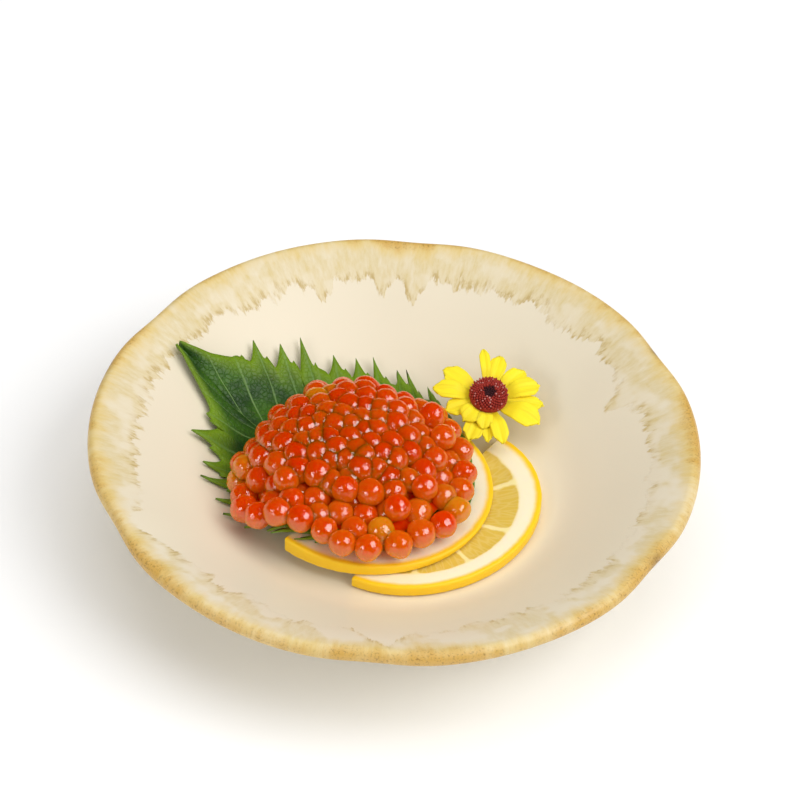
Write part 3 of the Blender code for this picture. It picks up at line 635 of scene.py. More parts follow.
# Marks of iron on the rim: direction in degrees, half length in degrees and strength.
IRON_MARKS = ((28.6, 1.5, 1.0), (-31.0, 1.8, 0.55), (141.0, 3.0, 0.4), (166.0, 4.0, 0.35))
IRON_HEIGHT = 1.3 * MM
FOOT_LINE = 1.2 * MM


def ash_depth(x, y):
    """How far a place lies inside the even edge of the ash glaze, its long runs included."""
    radius = math.hypot(x, y)
    direction = math.degrees(math.atan2(y, x))
    edge = ASH_EDGE
    for where, reach, half_width in ASH_RUNS:
        turn = (direction - where + 180.0) % 360.0 - 180.0
        edge -= reach * MM * math.exp(-((turn / half_width) ** 2))
    return radius / lobe_scale(math.radians(direction), radius) - edge


def iron_mark(direction, to_rim):
    """How much iron shows at a direction in degrees and a distance from the rim."""
    mark = 0.0
    for where, half_length, strength in IRON_MARKS:
        turn = (direction - where + 180.0) % 360.0 - 180.0
        mark += strength * math.exp(-((turn / half_length) ** 2) - (to_rim / IRON_HEIGHT) ** 2)
    return mark


def plate_section():
    """Half section of the plate, from the middle of the floor out and back underneath."""
    inner_lip = lip_point(LIP_START)[0]
    outer_lip = lip_point(LIP_END)[0]
    foot_inner = FOOT_RADIUS - FOOT_WIDTH
    points = [(radius, turned_top(radius)) for radius in spaced(0.0, inner_lip, TOP_STEPS)[:-1]]
    points += [lip_point(angle) for angle in spaced(LIP_START, LIP_END, LIP_STEPS)]
    points += [(r, turned_bottom(r)) for r in spaced(outer_lip, FOOT_RADIUS, WALL_STEPS)[1:-1]]
    return points + [
        (FOOT_RADIUS + FOOT_ROUNDING * 0.2, FOOT_TOP - FOOT_ROUNDING * 0.3),
        (FOOT_RADIUS, FOOT_TOP - FOOT_ROUNDING), (FOOT_RADIUS, FOOT_ROUNDING),
        (FOOT_RADIUS - FOOT_ROUNDING * 0.3, FOOT_ROUNDING * 0.3),
        (FOOT_RADIUS - FOOT_ROUNDING, 0.0), (foot_inner + FOOT_ROUNDING, 0.0),
        (foot_inner + FOOT_ROUNDING * 0.3, FOOT_ROUNDING * 0.3), (foot_inner, FOOT_ROUNDING),
        (foot_inner - FOOT_ROUNDING, FOOT_TOP), (foot_inner / 2.0, FOOT_TOP), (0.0, FOOT_TOP),
    ]


def glaze_material(settings):
    """Stoneware with a cream glaze under a second ash glaze, dipped at the rim and fired.

    The cream glaze gives an even, half-matt ground. The ash glaze runs down in ragged tongues
    of straw colour with darker tips, and both thin to amber on the rim, with iron specks.
    """
    material, add, shader = new_material("ash_glazed_stoneware")
    place = add("TexCoord", (), "Object")
    height = add("SeparateXYZ", (place,), "Z")
    run = add("Attribute", (), "Vector", attribute_name="run")
    depth, iron, to_rim, body = (
        add("Attribute", (), "Fac", attribute_name=name)
        for name in ("ash_depth", "iron", "to_rim", "ash_body")
    )
    tongues, crystals, clouds, patches, specks = (
        add("TexNoise", {"Vector": at, "Scale": 1.0 / size, "Detail": detail, "Roughness": rough})
        for at, size, detail, rough in (
            (run, RUN_WIDTH, 5.0, 0.66), (run, CRYSTAL_SIZE, 4.0, 0.7),
            (place, MOTTLE_SIZE, 3.0, 0.5), (place, PATCH_SIZE, 2.0, 0.5),
            (place, SPECK_SIZE, 2.0, 0.5),
        )
    )
    depth = add("Math", (tongues, ASH_RAGGED, depth), operation="MULTIPLY_ADD")
    edge = ASH_RAGGED / 2.0
    ash = add("MapRange", (depth, edge - ASH_SOFTNESS, edge + ASH_SOFTNESS), **SOFT)
    thick = add("MapRange", (crystals, 0.3, 0.7, 0.2, 0.8))
    patches = add("MapRange", (patches, 0.4, 0.58, -0.55, 0.45), **SOFT)
    body = add("Math", (patches, body), operation="ADD", use_clamp=True)
    cover = add("Math", (thick, ash), operation="MULTIPLY", use_clamp=True)
    cover = add("Math", (cover, body), operation="MULTIPLY")
    tips = add("MapRange", (depth, edge + 0.4 * MM, edge + 3.0 * MM, 1.0, 0.0), **SOFT)
    pooled = add("MapRange", (crystals, 0.45, 0.62, 0.0, 0.75), **SOFT)
    for share in (pooled, ash, body):
        tips = add("Math", (tips, share), operation="MULTIPLY")
    to_rim = add("Math", (clouds, -RIM_VARIATION, to_rim), operation="MULTIPLY_ADD")
    to_rim = add("Math", (tongues, -2.0 * RIM_WIDTH, to_rim), operation="MULTIPLY_ADD")
    middle = -(RIM_VARIATION / 2.0 + RIM_WIDTH)
    glow, rim = (
        add("MapRange", (to_rim, middle + start, middle + end, 0.0, most), **SOFT)
        for start, end, most in (
            (1.9 * RIM_WIDTH, 0.3 * RIM_WIDTH, 0.7), (0.9 * RIM_WIDTH, -0.2 * RIM_WIDTH, 0.8),
        )
    )
    speck = add("MapRange", (specks, 0.53, 0.7, 0.0, 0.6))
    speck = add("Math", (speck, rim), operation="MULTIPLY")
    iron = add("Math", (crystals, iron), operation="MULTIPLY")
    speck = add("Math", (iron, 1.7, speck), operation="MULTIPLY_ADD", use_clamp=True)
    foot = add("MapRange", (height, FOOT_LINE - 0.3 * MM, FOOT_LINE + 0.3 * MM, 1.0, 0.0))
    color = settings.cream
    for share, layer in (
        (cover, settings.ash), (tips, settings.pooled), (glow, settings.honey),
        (rim, settings.amber), (speck, settings.iron), (foot, settings.clay),
    ):
        color = add("Mix", {FACTOR: share, UNDER: color, OVER: layer}, BLEND, **COLORS)
    bump = add("Bump", {"Height": ash, "Strength": 0.35, "Distance": 0.15 * MM})
    set_inputs(shader, {"Base Color": color, "Roughness": 0.42, "IOR": 1.5, "Normal": bump})
    return material


class ROE_OT_add_plate(bpy.types.Operator):
    """Add the lobed stoneware plate"""

    bl_idname = "salmon_roe.add_plate"
    bl_label = "Add Plate"

    def execute(self, context):
        settings = context.scene.glaze_settings
        bm = spin_profile(plate_section(), settings.segments)
        depth, to_rim, iron, body = (
            bm.verts.layers.float.new(name) for name in ("ash_depth", "to_rim", "iron", "ash_body")
        )
        run = bm.verts.layers.float_vector.new("run")
        for vert in bm.verts:
            radius = vert.co.xy.length
            scale = lobe_scale(math.atan2(vert.co.y, vert.co.x), radius)
            vert.co.x *= scale
            vert.co.y *= scale
            lift = noise.noise(Vector((vert.co.x, vert.co.y, 0.0)) / MOTTLE_SIZE)
            vert.co.z += lift * settings.unevenness * smoothstep(FLOOR_RADIUS, RIM_RADIUS, radius)
            vert[depth] = ash_depth(vert.co.x, vert.co.y)
            vert[to_rim] = RIM_RADIUS - radius
            direction = math.atan2(vert.co.y, vert.co.x)
            vert[body] = ASH_BODY + ASH_BODY_GAIN * math.cos(direction - THICK_TOWARDS)
            vert[run] = (
                ASH_EDGE * math.cos(direction), ASH_EDGE * math.sin(direction), radius * RUN_STRETCH
            )
            vert[iron] = iron_mark(math.degrees(direction), RIM_RADIUS - radius)
        bmesh.ops.recalc_face_normals(bm, faces=bm.faces)
        keep_piece(bm, "stoneware_plate", glaze_material(settings), "plate")
        return {"FINISHED"}


# ---------------------------------------------------------------- lemon


class LemonSettings(bpy.types.PropertyGroup):
    """Sizes and colours of the lemon slices."""

    rind: bpy.props.FloatVectorProperty(
        name="Rind", description="Colour of the outer peel", subtype="COLOR",
        default=to_linear("#FBCB12"), min=0.0, max=1.0,
    )
    pith: bpy.props.FloatVectorProperty(
        name="Pith", description="Colour of the white layer under the peel", subtype="COLOR",
        default=to_linear("#FBEDCB"), min=0.0, max=1.0,
    )
    pulp: bpy.props.FloatVectorProperty(
        name="Pulp", description="Colour of the juicy flesh", subtype="COLOR",
        default=to_linear("#DCBC50"), min=0.0, max=1.0,
    )
    membrane: bpy.props.FloatVectorProperty(
        name="Membrane", description="Colour of the thin walls between the segments",
        subtype="COLOR", default=to_linear("#F3E3A0"), min=0.0, max=1.0,
    )
    rind_width: bpy.props.FloatProperty(
        name="Rind width", description="Thickness of the peel", subtype="DISTANCE",
        default=1.5 * MM, min=0.5 * MM, max=3.0 * MM,
    )
    pith_width: bpy.props.FloatProperty(
        name="Pith width", description="Thickness of the white layer", subtype="DISTANCE",
        default=4.2 * MM, min=1.0 * MM, max=6.0 * MM,
    )
    relief: bpy.props.FloatProperty(
        name="Relief", description="How far the flesh stands below the pith", subtype="DISTANCE",
        default=0.25 * MM, min=0.0, max=0.5 * MM,
    )


LEMON_SEGMENTS = 9
MEMBRANE_HALF = 0.45 * MM
SEGMENT_ROUNDING = 2.4 * MM
SEGMENT_EDGE = 0.5 * MM
SLICE_STEPS = 160
SLICE_RINGS = 26
PEEL_PORE = 0.9 * MM
PEEL_DEPTH = 0.10 * MM
PEEL_SHARE = 0.97
CUT_FACE_NORMAL = 0.9
WOBBLE_SIZE = 3.0 * MM
VESICLE_WIDTH = 1.0 * MM
VESICLE_LENGTH = 5.0 * MM
CREASE = math.radians(40.0)
SLICE_REACH = 31.0 * MM
# The core that a slice's segments run out from, and how far they are turned.
FRONT_SEGMENTS = ((7.0 * MM, -12.0 * MM), math.radians(29.0))
BACK_SEGMENTS = ((-5.4 * MM, -4.4 * MM), math.radians(10.0))


def slice_place(x, y, half_slice, core, segment_turn):
    """Where a point lies on a slice, as a flat vector from the core, 1 long at the rim."""
    centre, half_axes, turn = half_slice[:3]
    cosine, sine = math.cos(turn), math.sin(turn)

    def unit(px, py):
        dx, dy = px - centre[0], py - centre[1]
        return Vector(
            ((dx * cosine + dy * sine) / half_axes[0], (dy * cosine - dx * sine) / half_axes[1])
        )

    start = unit(*core)
    towards = unit(x, y) - start
    if towards.length < 1e-6:
        return Vector((0.0, 0.0))
    a = towards.dot(towards)
    b = start.dot(towards)
    c = start.dot(start) - 1.0
    to_rim = (-b + math.sqrt(b * b - a * c)) / a
    share = 1.0 / to_rim
    angle = math.atan2(y - core[1], x - core[0]) - segment_turn
    return Vector((share * math.cos(angle), share * math.sin(angle)))


def pulp_share(place, settings):
    """1 on the flesh of a segment, 0 on the membranes, the pith and the peel."""
    radius = place.length
    step = 2.0 * math.pi / LEMON_SEGMENTS
    angle = math.atan2(place.y, place.x) % step
    to_membrane = radius * SLICE_REACH * math.sin(min(angle, step - angle)) - MEMBRANE_HALF
    flesh = 1.0 - (settings.rind_width + settings.pith_width) / SLICE_REACH
    to_pith = (flesh - radius) * SLICE_REACH
    h = max(SEGMENT_ROUNDING - abs(to_membrane - to_pith), 0.0) / SEGMENT_ROUNDING
    nearest = min(to_membrane, to_pith) - h * h * SEGMENT_ROUNDING * 0.25
    return smoothstep(0.0, SEGMENT_EDGE, nearest)


def lemon_slice(half_slice, segments, bottom, top, settings):
    """A half slice with its cut face, softened edges, sunken flesh and pored peel."""
    centre, half_axes, turn, cut_angle, cut_offset = half_slice
    bm = bmesh.new()
    bmesh.ops.create_cone(
        bm, cap_ends=True, segments=SLICE_STEPS, radius1=1.0, radius2=1.0, depth=1.0
    )
    caps = [face for face in bm.faces if len(face.verts) == SLICE_STEPS]
    for _ in range(SLICE_RINGS - 1):
        bmesh.ops.inset_region(bm, faces=caps, thickness=1.0 / SLICE_RINGS, use_even_offset=True)
    bmesh.ops.poke(bm, faces=caps)
    bmesh.ops.scale(bm, vec=(*half_axes, 1.0), verts=bm.verts)
    bmesh.ops.rotate(bm, matrix=Matrix.Rotation(turn, 3, "Z"), verts=bm.verts)
    bmesh.ops.translate(bm, vec=(*centre, 0.0), verts=bm.verts)
    cut_away = Vector((-math.sin(cut_angle), math.cos(cut_angle), 0.0))
    bmesh.ops.bisect_plane(
        bm, geom=bm.verts[:] + bm.edges[:] + bm.faces[:], dist=MERGE_DISTANCE,
        plane_co=Vector((*centre, 0.0)) + cut_away * cut_offset, plane_no=cut_away,
        clear_outer=True,
    )
    bmesh.ops.holes_fill(bm, edges=bm.edges, sides=0)
    for vert in bm.verts:
        vert.co.z = top(vert.co.x) if vert.co.z > 0.0 else bottom
    edges = [edge for edge in bm.edges if edge.calc_face_angle(0.0) > CREASE]
    bmesh.ops.bevel(
        bm, geom=edges, offset=SLICE_ROUNDING, segments=3, profile=0.5, affect="EDGES", material=-1
    )
    bmesh.ops.recalc_face_normals(bm, faces=bm.faces)
    bm.normal_update()
    for vert in bm.verts:
        place = slice_place(*vert.co.xy, half_slice, *segments)
        if abs(vert.normal.z) > CUT_FACE_NORMAL:
            vert.co.z -= math.copysign(settings.relief * pulp_share(place, settings), vert.normal.z)
        elif place.length > PEEL_SHARE:
            vert.co -= vert.normal * PEEL_DEPTH * (0.5 + noise.noise(vert.co / PEEL_PORE))
    bmesh.ops.triangulate(bm, faces=bm.faces)
    layer = bm.loops.layers.uv.new("slice")
    for face in bm.faces:
        for loop in face.loops:
            loop[layer].uv = slice_place(*loop.vert.co.xy, half_slice, *segments)
    return bm


def lemon_material(settings):
    """Fresh cut lemon: waxy peel, dry white pith, and wet flesh in segments.

    The peel is a strong warm yellow with tiny pores. The pith is matt and nearly white. The
    flesh is a dull translucent yellow with fine threads that run out from the core.
    """
    material, add, shader = new_material("cut_lemon")
    place = add("UVMap", uv_map="slice")
    solid = add("TexCoord", (), "Object")
    radius = add("VectorMath", (place,), "Value", operation="LENGTH")
    parts = add("SeparateXYZ", (place,)).node
    angle = add("Math", (parts.outputs["Y"], parts.outputs["X"]), operation="ARCTAN2")
    wobble, pores = (
        add("TexNoise", {"Vector": solid, "Scale": 1.0 / size, "Detail": 2.0})
        for size in (WOBBLE_SIZE, PEEL_PORE)
    )
    folded = add("Math", (angle, math.pi / LEMON_SEGMENTS), operation="PINGPONG")
    across = add("Math", (folded,), operation="SINE")
    across = add("Math", (across, radius), operation="MULTIPLY")
    to_membrane = add("Math", (across, SLICE_REACH, -MEMBRANE_HALF), operation="MULTIPLY_ADD")
    flesh = 1.0 - (settings.rind_width + settings.pith_width) / SLICE_REACH
    to_pith = add("Math", (radius, -SLICE_REACH, flesh * SLICE_REACH), operation="MULTIPLY_ADD")
    nearest = add("Math", (to_membrane, to_pith, SEGMENT_ROUNDING), operation="SMOOTH_MIN")
    nearest = add("Math", (wobble, 0.8 * MM, nearest), operation="MULTIPLY_ADD")
    pulp = add("MapRange", (nearest, 0.3 * MM, 0.4 * MM + SEGMENT_EDGE), **SOFT)
    in_flesh = add("MapRange", (to_pith, -0.6 * MM, 0.6 * MM), **SOFT)
    outwards = add("VectorMath", (place,), operation="NORMALIZE")
    outwards = add(
        "VectorMath", {0: outwards, "Scale": SLICE_REACH / 2.0 / VESICLE_WIDTH}, operation="SCALE"
    )
    along = add("Math", (radius, SLICE_REACH / VESICLE_LENGTH), operation="MULTIPLY")
    along = add("CombineXYZ", {"Z": along})
    vesicle_place = add("VectorMath", (outwards, along), operation="ADD")
    vesicles = add("TexVoronoi", {"Vector": vesicle_place, "Scale": 1.0}, **TO_EDGE)
    vesicle_wall = add("MapRange", (vesicles, 0.0, 0.16, 0.22, 0.0))
    peel_edge = add("Math", (wobble, 0.02, radius), operation="MULTIPLY_ADD")
    peel_start = 1.01 - settings.rind_width / SLICE_REACH
    peel = add("MapRange", (peel_edge, peel_start - 0.03, peel_start + 0.02), **SOFT)
    inside, color = (
        add("Mix", {FACTOR: share, UNDER: under, OVER: settings.membrane}, BLEND, **COLORS)
        for share, under in ((vesicle_wall, settings.pulp), (in_flesh, settings.pith))
    )
    for share, layer in ((pulp, inside), (peel, settings.rind)):
        color = add("Mix", {FACTOR: share, UNDER: color, OVER: layer}, BLEND, **COLORS)
    rough = add("MapRange", (pulp, 0.0, 1.0, 0.5, 0.22))
    threads = add("Math", (vesicle_wall, pulp), operation="MULTIPLY")
    relief = add("Math", (pores, threads), operation="ADD")
    bump = add("Bump", {"Height": relief, "Strength": 0.4, "Distance": 0.12 * MM})
    set_inputs(shader, {
        "Base Color": color, "Roughness": rough, "Subsurface Weight": 0.35,
        "Subsurface Radius": (1.0, 0.8, 0.35), "Subsurface Scale": 1.6 * MM, "Normal": bump,
    })
    return material


class ROE_OT_add_lemon(bpy.types.Operator):
    """Add the two half slices of lemon"""

    bl_idname = "salmon_roe.add_lemon"
    bl_label = "Add Lemon Slices"

    def execute(self, context):
        settings = context.scene.lemon_settings
        material = lemon_material(settings)
        for side, half_slice, segments, bottom, top in (
            ("front", FRONT_SLICE, FRONT_SEGMENTS, FRONT_BOTTOM, lambda x: FRONT_TOP),
            ("back", BACK_SLICE, BACK_SEGMENTS, BACK_BOTTOM, back_top),
        ):
            bm = lemon_slice(half_slice, segments, bottom, top, settings)
            node = f"lemon_slice_{side}"
            keep_piece(bm, f"{side}_lemon_slice", material, node, CREASE)
        return {"FINISHED"}


# ---------------------------------------------------------------- leaf


class LeafSettings(bpy.types.PropertyGroup):
    """Sizes and colours of the shiso leaf."""

    blade: bpy.props.FloatVectorProperty(
        name="Blade", description="Colour of the upper face between the veins", subtype="COLOR",
        default=to_linear("#42700F"), min=0.0, max=1.0,
    )
    shade: bpy.props.FloatVectorProperty(
        name="Blade near the ribs", description="Deeper green along the veins", subtype="COLOR",
        default=to_linear("#1F4310"), min=0.0, max=1.0,
    )
    # Painted light: the yellow-green that stands for light coming through the thin teeth.
    margin: bpy.props.FloatVectorProperty(
        name="Margin", description="Yellow-green of the thin teeth", subtype="COLOR",
        default=to_linear("#7E9E14"), min=0.0, max=1.0,
    )
    vein: bpy.props.FloatVectorProperty(
        name="Veins", description="Pale green of the ribs", subtype="COLOR",
        default=to_linear("#7C9F58"), min=0.0, max=1.0,
    )
    quilting: bpy.props.FloatProperty(
        name="Quilting", description="How far the blade stands up between its side veins",
        subtype="DISTANCE", default=0.45 * MM, min=0.0, max=1.0 * MM,
    )
    vein_width: bpy.props.FloatProperty(
        name="Vein width", description="Width of the midrib near the base", subtype="DISTANCE",
        default=0.9 * MM, min=0.2 * MM, max=2.0 * MM,
    )


LEAF_COLUMNS = 16
ROWS_PER_TOOTH = 14
TOOTH_INNER = 0.74
TOOTH_SLANT = 1.9
TOOTH_VARIATION = 0.32
TOOTH_HOLLOW = 1.7
TOOTH_OUT = 0.85
# Each tooth has a smaller one at its side.
SIDE_TOOTH = 0.45
SIDE_TOOTH_SHIFT = 0.7
# The teeth at the back grow longer towards the base.
BACK_TEETH_GAIN = 0.35
BACK_TEETH_RUN = (0.25, 0.5)
LEAF_SEED = 5
CELL_SIZE = 1.3 * MM
VEIN_WARP = 2.0 * MM
PUCKER_SIZE = 3.0 * MM
LEAF_PATCH = 7.0 * MM
MIDRIB_GROOVE = 0.35 * MM
MIDRIB_HALF = 1.0 * MM


def blade_point(side, edge_share, tooth_sizes, quilting):
    """A point of the leaf's middle from its side (-1 to 1) and the place where its vein ends."""
    base, along, across, length = leaf_frame()
    out = abs(side)
    rib_share = 1.0 - (1.0 - edge_share) ** (1.0 / VEIN_SWEEP)
    share = rib_share + (edge_share - rib_share) * out
    last_tooth = (LEAF_BACK_HALF if side > 0.0 else LEAF_FRONT_HALF)[3]
    size = smoothstep(0.0, TOOTH_GROWTH, edge_share)
    size *= 1.0 - smoothstep(last_tooth - TOOTH_END, last_tooth, edge_share)
    phase = edge_share * (LEAF_TEETH + 1)
    nearest = min(round(phase), LEAF_TEETH)
    size *= tooth_sizes[nearest + (LEAF_TEETH + 1 if side > 0.0 else 0)]
    if side > 0.0:
        size *= 1.0 + BACK_TEETH_GAIN * (1.0 - smoothstep(*BACK_TEETH_RUN, edge_share))
    side_phase = 2.0 * phase + SIDE_TOOTH_SHIFT
    point = max(
        (1.0 - 2.0 * abs(phase - round(phase))) ** TOOTH_HOLLOW,
        SIDE_TOOTH * (1.0 - 2.0 * abs(side_phase - round(side_phase))),
    )
    at_edge = min(max((out - TOOTH_INNER) / (1.0 - TOOTH_INNER), 0.0), 1.0)
    reach = out * leaf_half_width(edge_share, side)
    reach += at_edge * (TOOTH_OUT * point - 0.5) * TOOTH_LENGTH * size
    forward = share * length + at_edge * point * TOOTH_FORWARD * size * TOOTH_SLANT
    place = base + along * forward + across * math.copysign(reach, side)
    free = smoothstep(PRESSED_SHARE, FREE_SHARE, heap_share(place.x, place.y))
    lift = MARGIN_LIFT * smoothstep(MARGIN_START, 1.0, out)
    lift += TIP_LIFT * smoothstep(TIP_START, 1.0, share)
    lift *= free
    pillow = math.sin(math.pi * (phase % 1.0)) ** 0.7 * math.sin(math.pi * min(out, 1.0)) ** 0.5
    pucker = noise.noise(Vector((*place, 0.0)) / PUCKER_SIZE)
    lift += quilting * (pillow * (0.3 + 0.7 * free) - 0.5 + 0.5 * pucker * free)
    lift -= MIDRIB_GROOVE * math.exp(-((reach / MIDRIB_HALF) ** 2))
    return Vector((*place, leaf_height(*place) + lift))


def leaf_material(settings):
    """A fresh shiso leaf: a thin quilted blade with pale sunken veins.

    The upper face is a deep, slightly waxy green with a soft cool sheen on its pillows. The teeth
    are thin, so light comes through them, and that light is painted into their colour as
    yellow-green.
    """
    material, add, shader = new_material("fresh_shiso_leaf")
    parts = add("SeparateXYZ", (add("UVMap", uv_map="blade"),)).node
    solid = add("TexCoord", (), "Object")
    out = add("Math", (parts.outputs["X"],), operation="ABSOLUTE")
    phase = add("Math", (parts.outputs["Y"], float(LEAF_TEETH + 1)), operation="MULTIPLY")
    near_vein = add("Math", (phase, 0.5), operation="PINGPONG")
    warp, patches = (
        add("TexNoise", {"Vector": solid, "Scale": 1.0 / size, "Detail": detail})
        for size, detail in ((VEIN_WARP, 3.0), (LEAF_PATCH, 4.0))
    )
    near_vein = add("Math", (warp, 0.06, near_vein), operation="MULTIPLY_ADD")
    side_vein = add("MapRange", (near_vein, 0.045, 0.1, 0.75, 0.0), **SOFT)
    fading = add("MapRange", (out, 0.5, 1.0, 1.0, 0.25))
    side_vein = add("Math", (side_vein, fading), operation="MULTIPLY")
    rib_half = settings.vein_width / 2.0 / LEAF_BACK_HALF[0]
    midrib = add("MapRange", (out, rib_half * 0.8, rib_half * 1.8, 1.0, 0.0), **SOFT)
    vein = add("Math", (side_vein, midrib), operation="MAXIMUM")
    cells = add("TexVoronoi", {"Vector": solid, "Scale": 1.0 / CELL_SIZE}, **TO_EDGE)
    net = add("MapRange", (cells, 0.0, 0.16, 1.0, 0.0), **SOFT)
    depth = add("MapRange", (patches, 0.35, 0.65))
    at_net = add("Math", (net, 0.35), operation="MULTIPLY")
    # Painted light: the margin and teeth are painted yellow-green for the light that comes through
    # them.
    at_lit_margin = add("MapRange", (out, 0.72, 1.02, 0.0, 0.75), **SOFT)
    color = settings.shade
    for share, layer in (
        (depth, settings.blade), (at_net, settings.shade), (at_lit_margin, settings.margin),
        (vein, settings.vein),
    ):
        color = add("Mix", {FACTOR: share, UNDER: color, OVER: layer}, BLEND, **COLORS)
    sunk = add("Math", (net, vein), operation="MAXIMUM")
    bump = add("Bump", {"Height": sunk, "Strength": 0.5, "Distance": 0.18 * MM}, invert=True)
    set_inputs(shader, {
        "Base Color": color, "Roughness": 0.42, "Specular IOR Level": 0.35, "Normal": bump,
        "Sheen Weight": 0.04, "Sheen Roughness": 0.4, "Sheen Tint": to_linear("#C8D8A8"),
    })
    return material


class ROE_OT_add_leaf(bpy.types.Operator):
    """Add the toothed shiso leaf"""

    bl_idname = "salmon_roe.add_leaf"
    bl_label = "Add Leaf"

    def execute(self, context):
        settings = context.scene.leaf_settings
        rng = random.Random(LEAF_SEED)
        tooth_sizes = [
            1.0 + rng.uniform(-TOOTH_VARIATION, TOOTH_VARIATION)
            for _ in range(2 * (LEAF_TEETH + 1))
        ]
        rows = (LEAF_TEETH + 1) * ROWS_PER_TOOTH
        bm = bmesh.new()
        bmesh.ops.create_grid(bm, x_segments=2 * LEAF_COLUMNS, y_segments=rows, size=1.0)
        layer = bm.loops.layers.uv.new("blade")
        for face in bm.faces:
            for loop in face.loops:
                place = loop.vert.co
                loop[layer].uv = (place.x, (place.y + 1.0) / 2.0)
        for vert in bm.verts:
            vert.co = blade_point(
                vert.co.x, (vert.co.y + 1.0) / 2.0, tooth_sizes, settings.quilting
            )
        bmesh.ops.triangulate(bm, faces=bm.faces)
        bmesh.ops.recalc_face_normals(bm, faces=bm.faces)
        leaf = keep_piece(bm, "shiso_blade", leaf_material(settings), "shiso_leaf")
        thicken(leaf, LEAF_THICKNESS)
        return {"FINISHED"}


# ---------------------------------------------------------------- roe


class RoeSettings(bpy.types.PropertyGroup):
    """Sizes and colours of the salmon eggs."""

    # Painted light: flesh is the painted orange glow where light comes out of an egg, and deep is
    # the red where it goes in.
    flesh: bpy.props.FloatVectorProperty(
        name="Egg", description="Colour on the side of an egg where light comes out",
        subtype="COLOR", default=to_linear("#FF7606"), min=0.0, max=1.0,
    )
    deep: bpy.props.FloatVectorProperty(
        name="Deep red", description="Colour on the side of an egg that light goes in",
        subtype="COLOR", default=to_linear("#FF3E00"), min=0.0, max=1.0,
    )
    # Painted backlight: amber stands for light shining through an egg from behind, and some eggs
    # get a little of it at random.
    amber: bpy.props.FloatVectorProperty(
        name="Amber", description="Colour of a loose egg with light behind it", subtype="COLOR",
        default=to_linear("#FF9214"), min=0.0, max=1.0,
    )
    rim: bpy.props.FloatVectorProperty(
        name="Skin", description="Colour of the skin where it is seen edge on", subtype="COLOR",
        default=to_linear("#FFA050"), min=0.0, max=1.0,
    )
    dents: bpy.props.FloatProperty(
        name="Dents", description="How uneven the skin of an egg is, as a share of its radius",
        subtype="FACTOR", default=0.085, min=0.0, max=0.1,
    )
    shine: bpy.props.FloatProperty(
        name="Shine",
        description="Refractive index that sets how strongly the wet skin mirrors the light",
        subtype="FACTOR", default=2.25, min=1.0, max=2.5,
    )
    clearness: bpy.props.FloatProperty(
        name="Clearness", description="How much light goes straight through the skin of an egg",
        subtype="FACTOR", default=0.3, min=0.0, max=1.0,
    )


# Where the loose eggs lie that light shines through from behind; their amber is painted backlight.
PAINTED_BACKLIT_EGGS = (
    (-39.6 * MM, -4.0 * MM), (16.5 * MM, -15.3 * MM), (-19.1 * MM, 12.7 * MM),
    (-2.0 * MM, -29.8 * MM),
)
PAINTED_BACKLIT_REACH = 3.5 * MM
PAINTED_BACKLIGHT = 0.8
# The other eggs vary a little in amber at random, and more of them low down at the right get
# painted amber for the light shining through them.
AMBER_SPREAD = 0.22
PAINTED_LIGHT_LOW_RIGHT = 0.34
PAINTED_LIGHT_HEIGHTS = (4.0 * MM, 12.0 * MM)
PAINTED_LIGHT_PLACES = (-30.0 * MM, 15.0 * MM)
CORE_DEPTH = 7.5 * MM
CORE_SEGMENTS = 48
CORE_RINGS = 24
CORE_CLEARANCE = 1.0 * MM
DENT_SIZE = 2.6 * MM
WRINKLE_SIZE = 1.3 * MM
# Direction that most light comes from. It is painted into each egg's colour: deep red where the
# light goes in and a painted orange glow where it comes out.
PAINTED_LIGHT_SIDE = Vector((0.10, 0.25, 0.95)).normalized()


def add_egg(bm, place, radius, faces, dents, amber, layers):
    """One egg with a slightly uneven skin, its share of amber, and its painted glow on the side
    away from the light.
    """
    skin = bmesh.ops.create_icosphere(
        bm, subdivisions=faces, radius=radius, matrix=Matrix.Translation(place)
    )["verts"]
    for vert in skin:
        out = (vert.co - place).normalized()
        vert.co += out * radius * dents * noise.noise(vert.co / DENT_SIZE)
        vert[layers[0]] = amber
        vert[layers[1]] = 0.5 - 0.5 * out.dot(PAINTED_LIGHT_SIDE)


def roe_material(settings, name, clearness, wetness=1.0):
    """Salted salmon eggs: tight wet skins full of clear red-orange oil.

    Each egg passes light like a small lens, and that is painted into its colour: deep red on the
    side that the light comes from and a painted orange glow on the far side. It has a sharp wet
    highlight and a pale edge.
    """
    material, add, shader = new_material(name)
    # Painted light: amber is partly random tone and partly painted backlight, and glow paints
    # orange on the side of each egg away from the light.
    amber = add("Attribute", (), "Fac", attribute_name="amber")
    glow = add("Attribute", (), "Fac", attribute_name="glow")
    glow = add("MapRange", (glow, 0.1, 0.75), **SOFT)
    color = settings.deep
    for share, layer in ((glow, settings.flesh), (amber, settings.amber)):
        color = add("Mix", {FACTOR: share, UNDER: color, OVER: layer}, BLEND, **COLORS)
    solid = add("TexCoord", (), "Object")
    wrinkles = add(
        "TexNoise", {"Vector": solid, "Scale": 1.0 / WRINKLE_SIZE, "Detail": 2.0, "Roughness": 0.55}
    )
    bump = add("Bump", {"Height": wrinkles, "Strength": 0.8, "Distance": 0.3 * MM})
    set_inputs(shader, {
        "Base Color": color, "Roughness": 0.1 if wetness else 0.6, "IOR": 1.36,
        "Transmission Weight": clearness, "Specular IOR Level": 0.0,
        "Coat Weight": 0.7 * wetness, "Coat Roughness": 0.06, "Coat IOR": settings.shine,
        "Subsurface Weight": 1.0, "Subsurface Radius": (1.0, 0.35, 0.05),
        "Subsurface Scale": 2.8 * MM, "Sheen Weight": 0.2 * wetness, "Sheen Roughness": 0.1,
        "Sheen Tint": settings.rim, "Normal": bump, "Coat Normal": bump,
    })
    return material


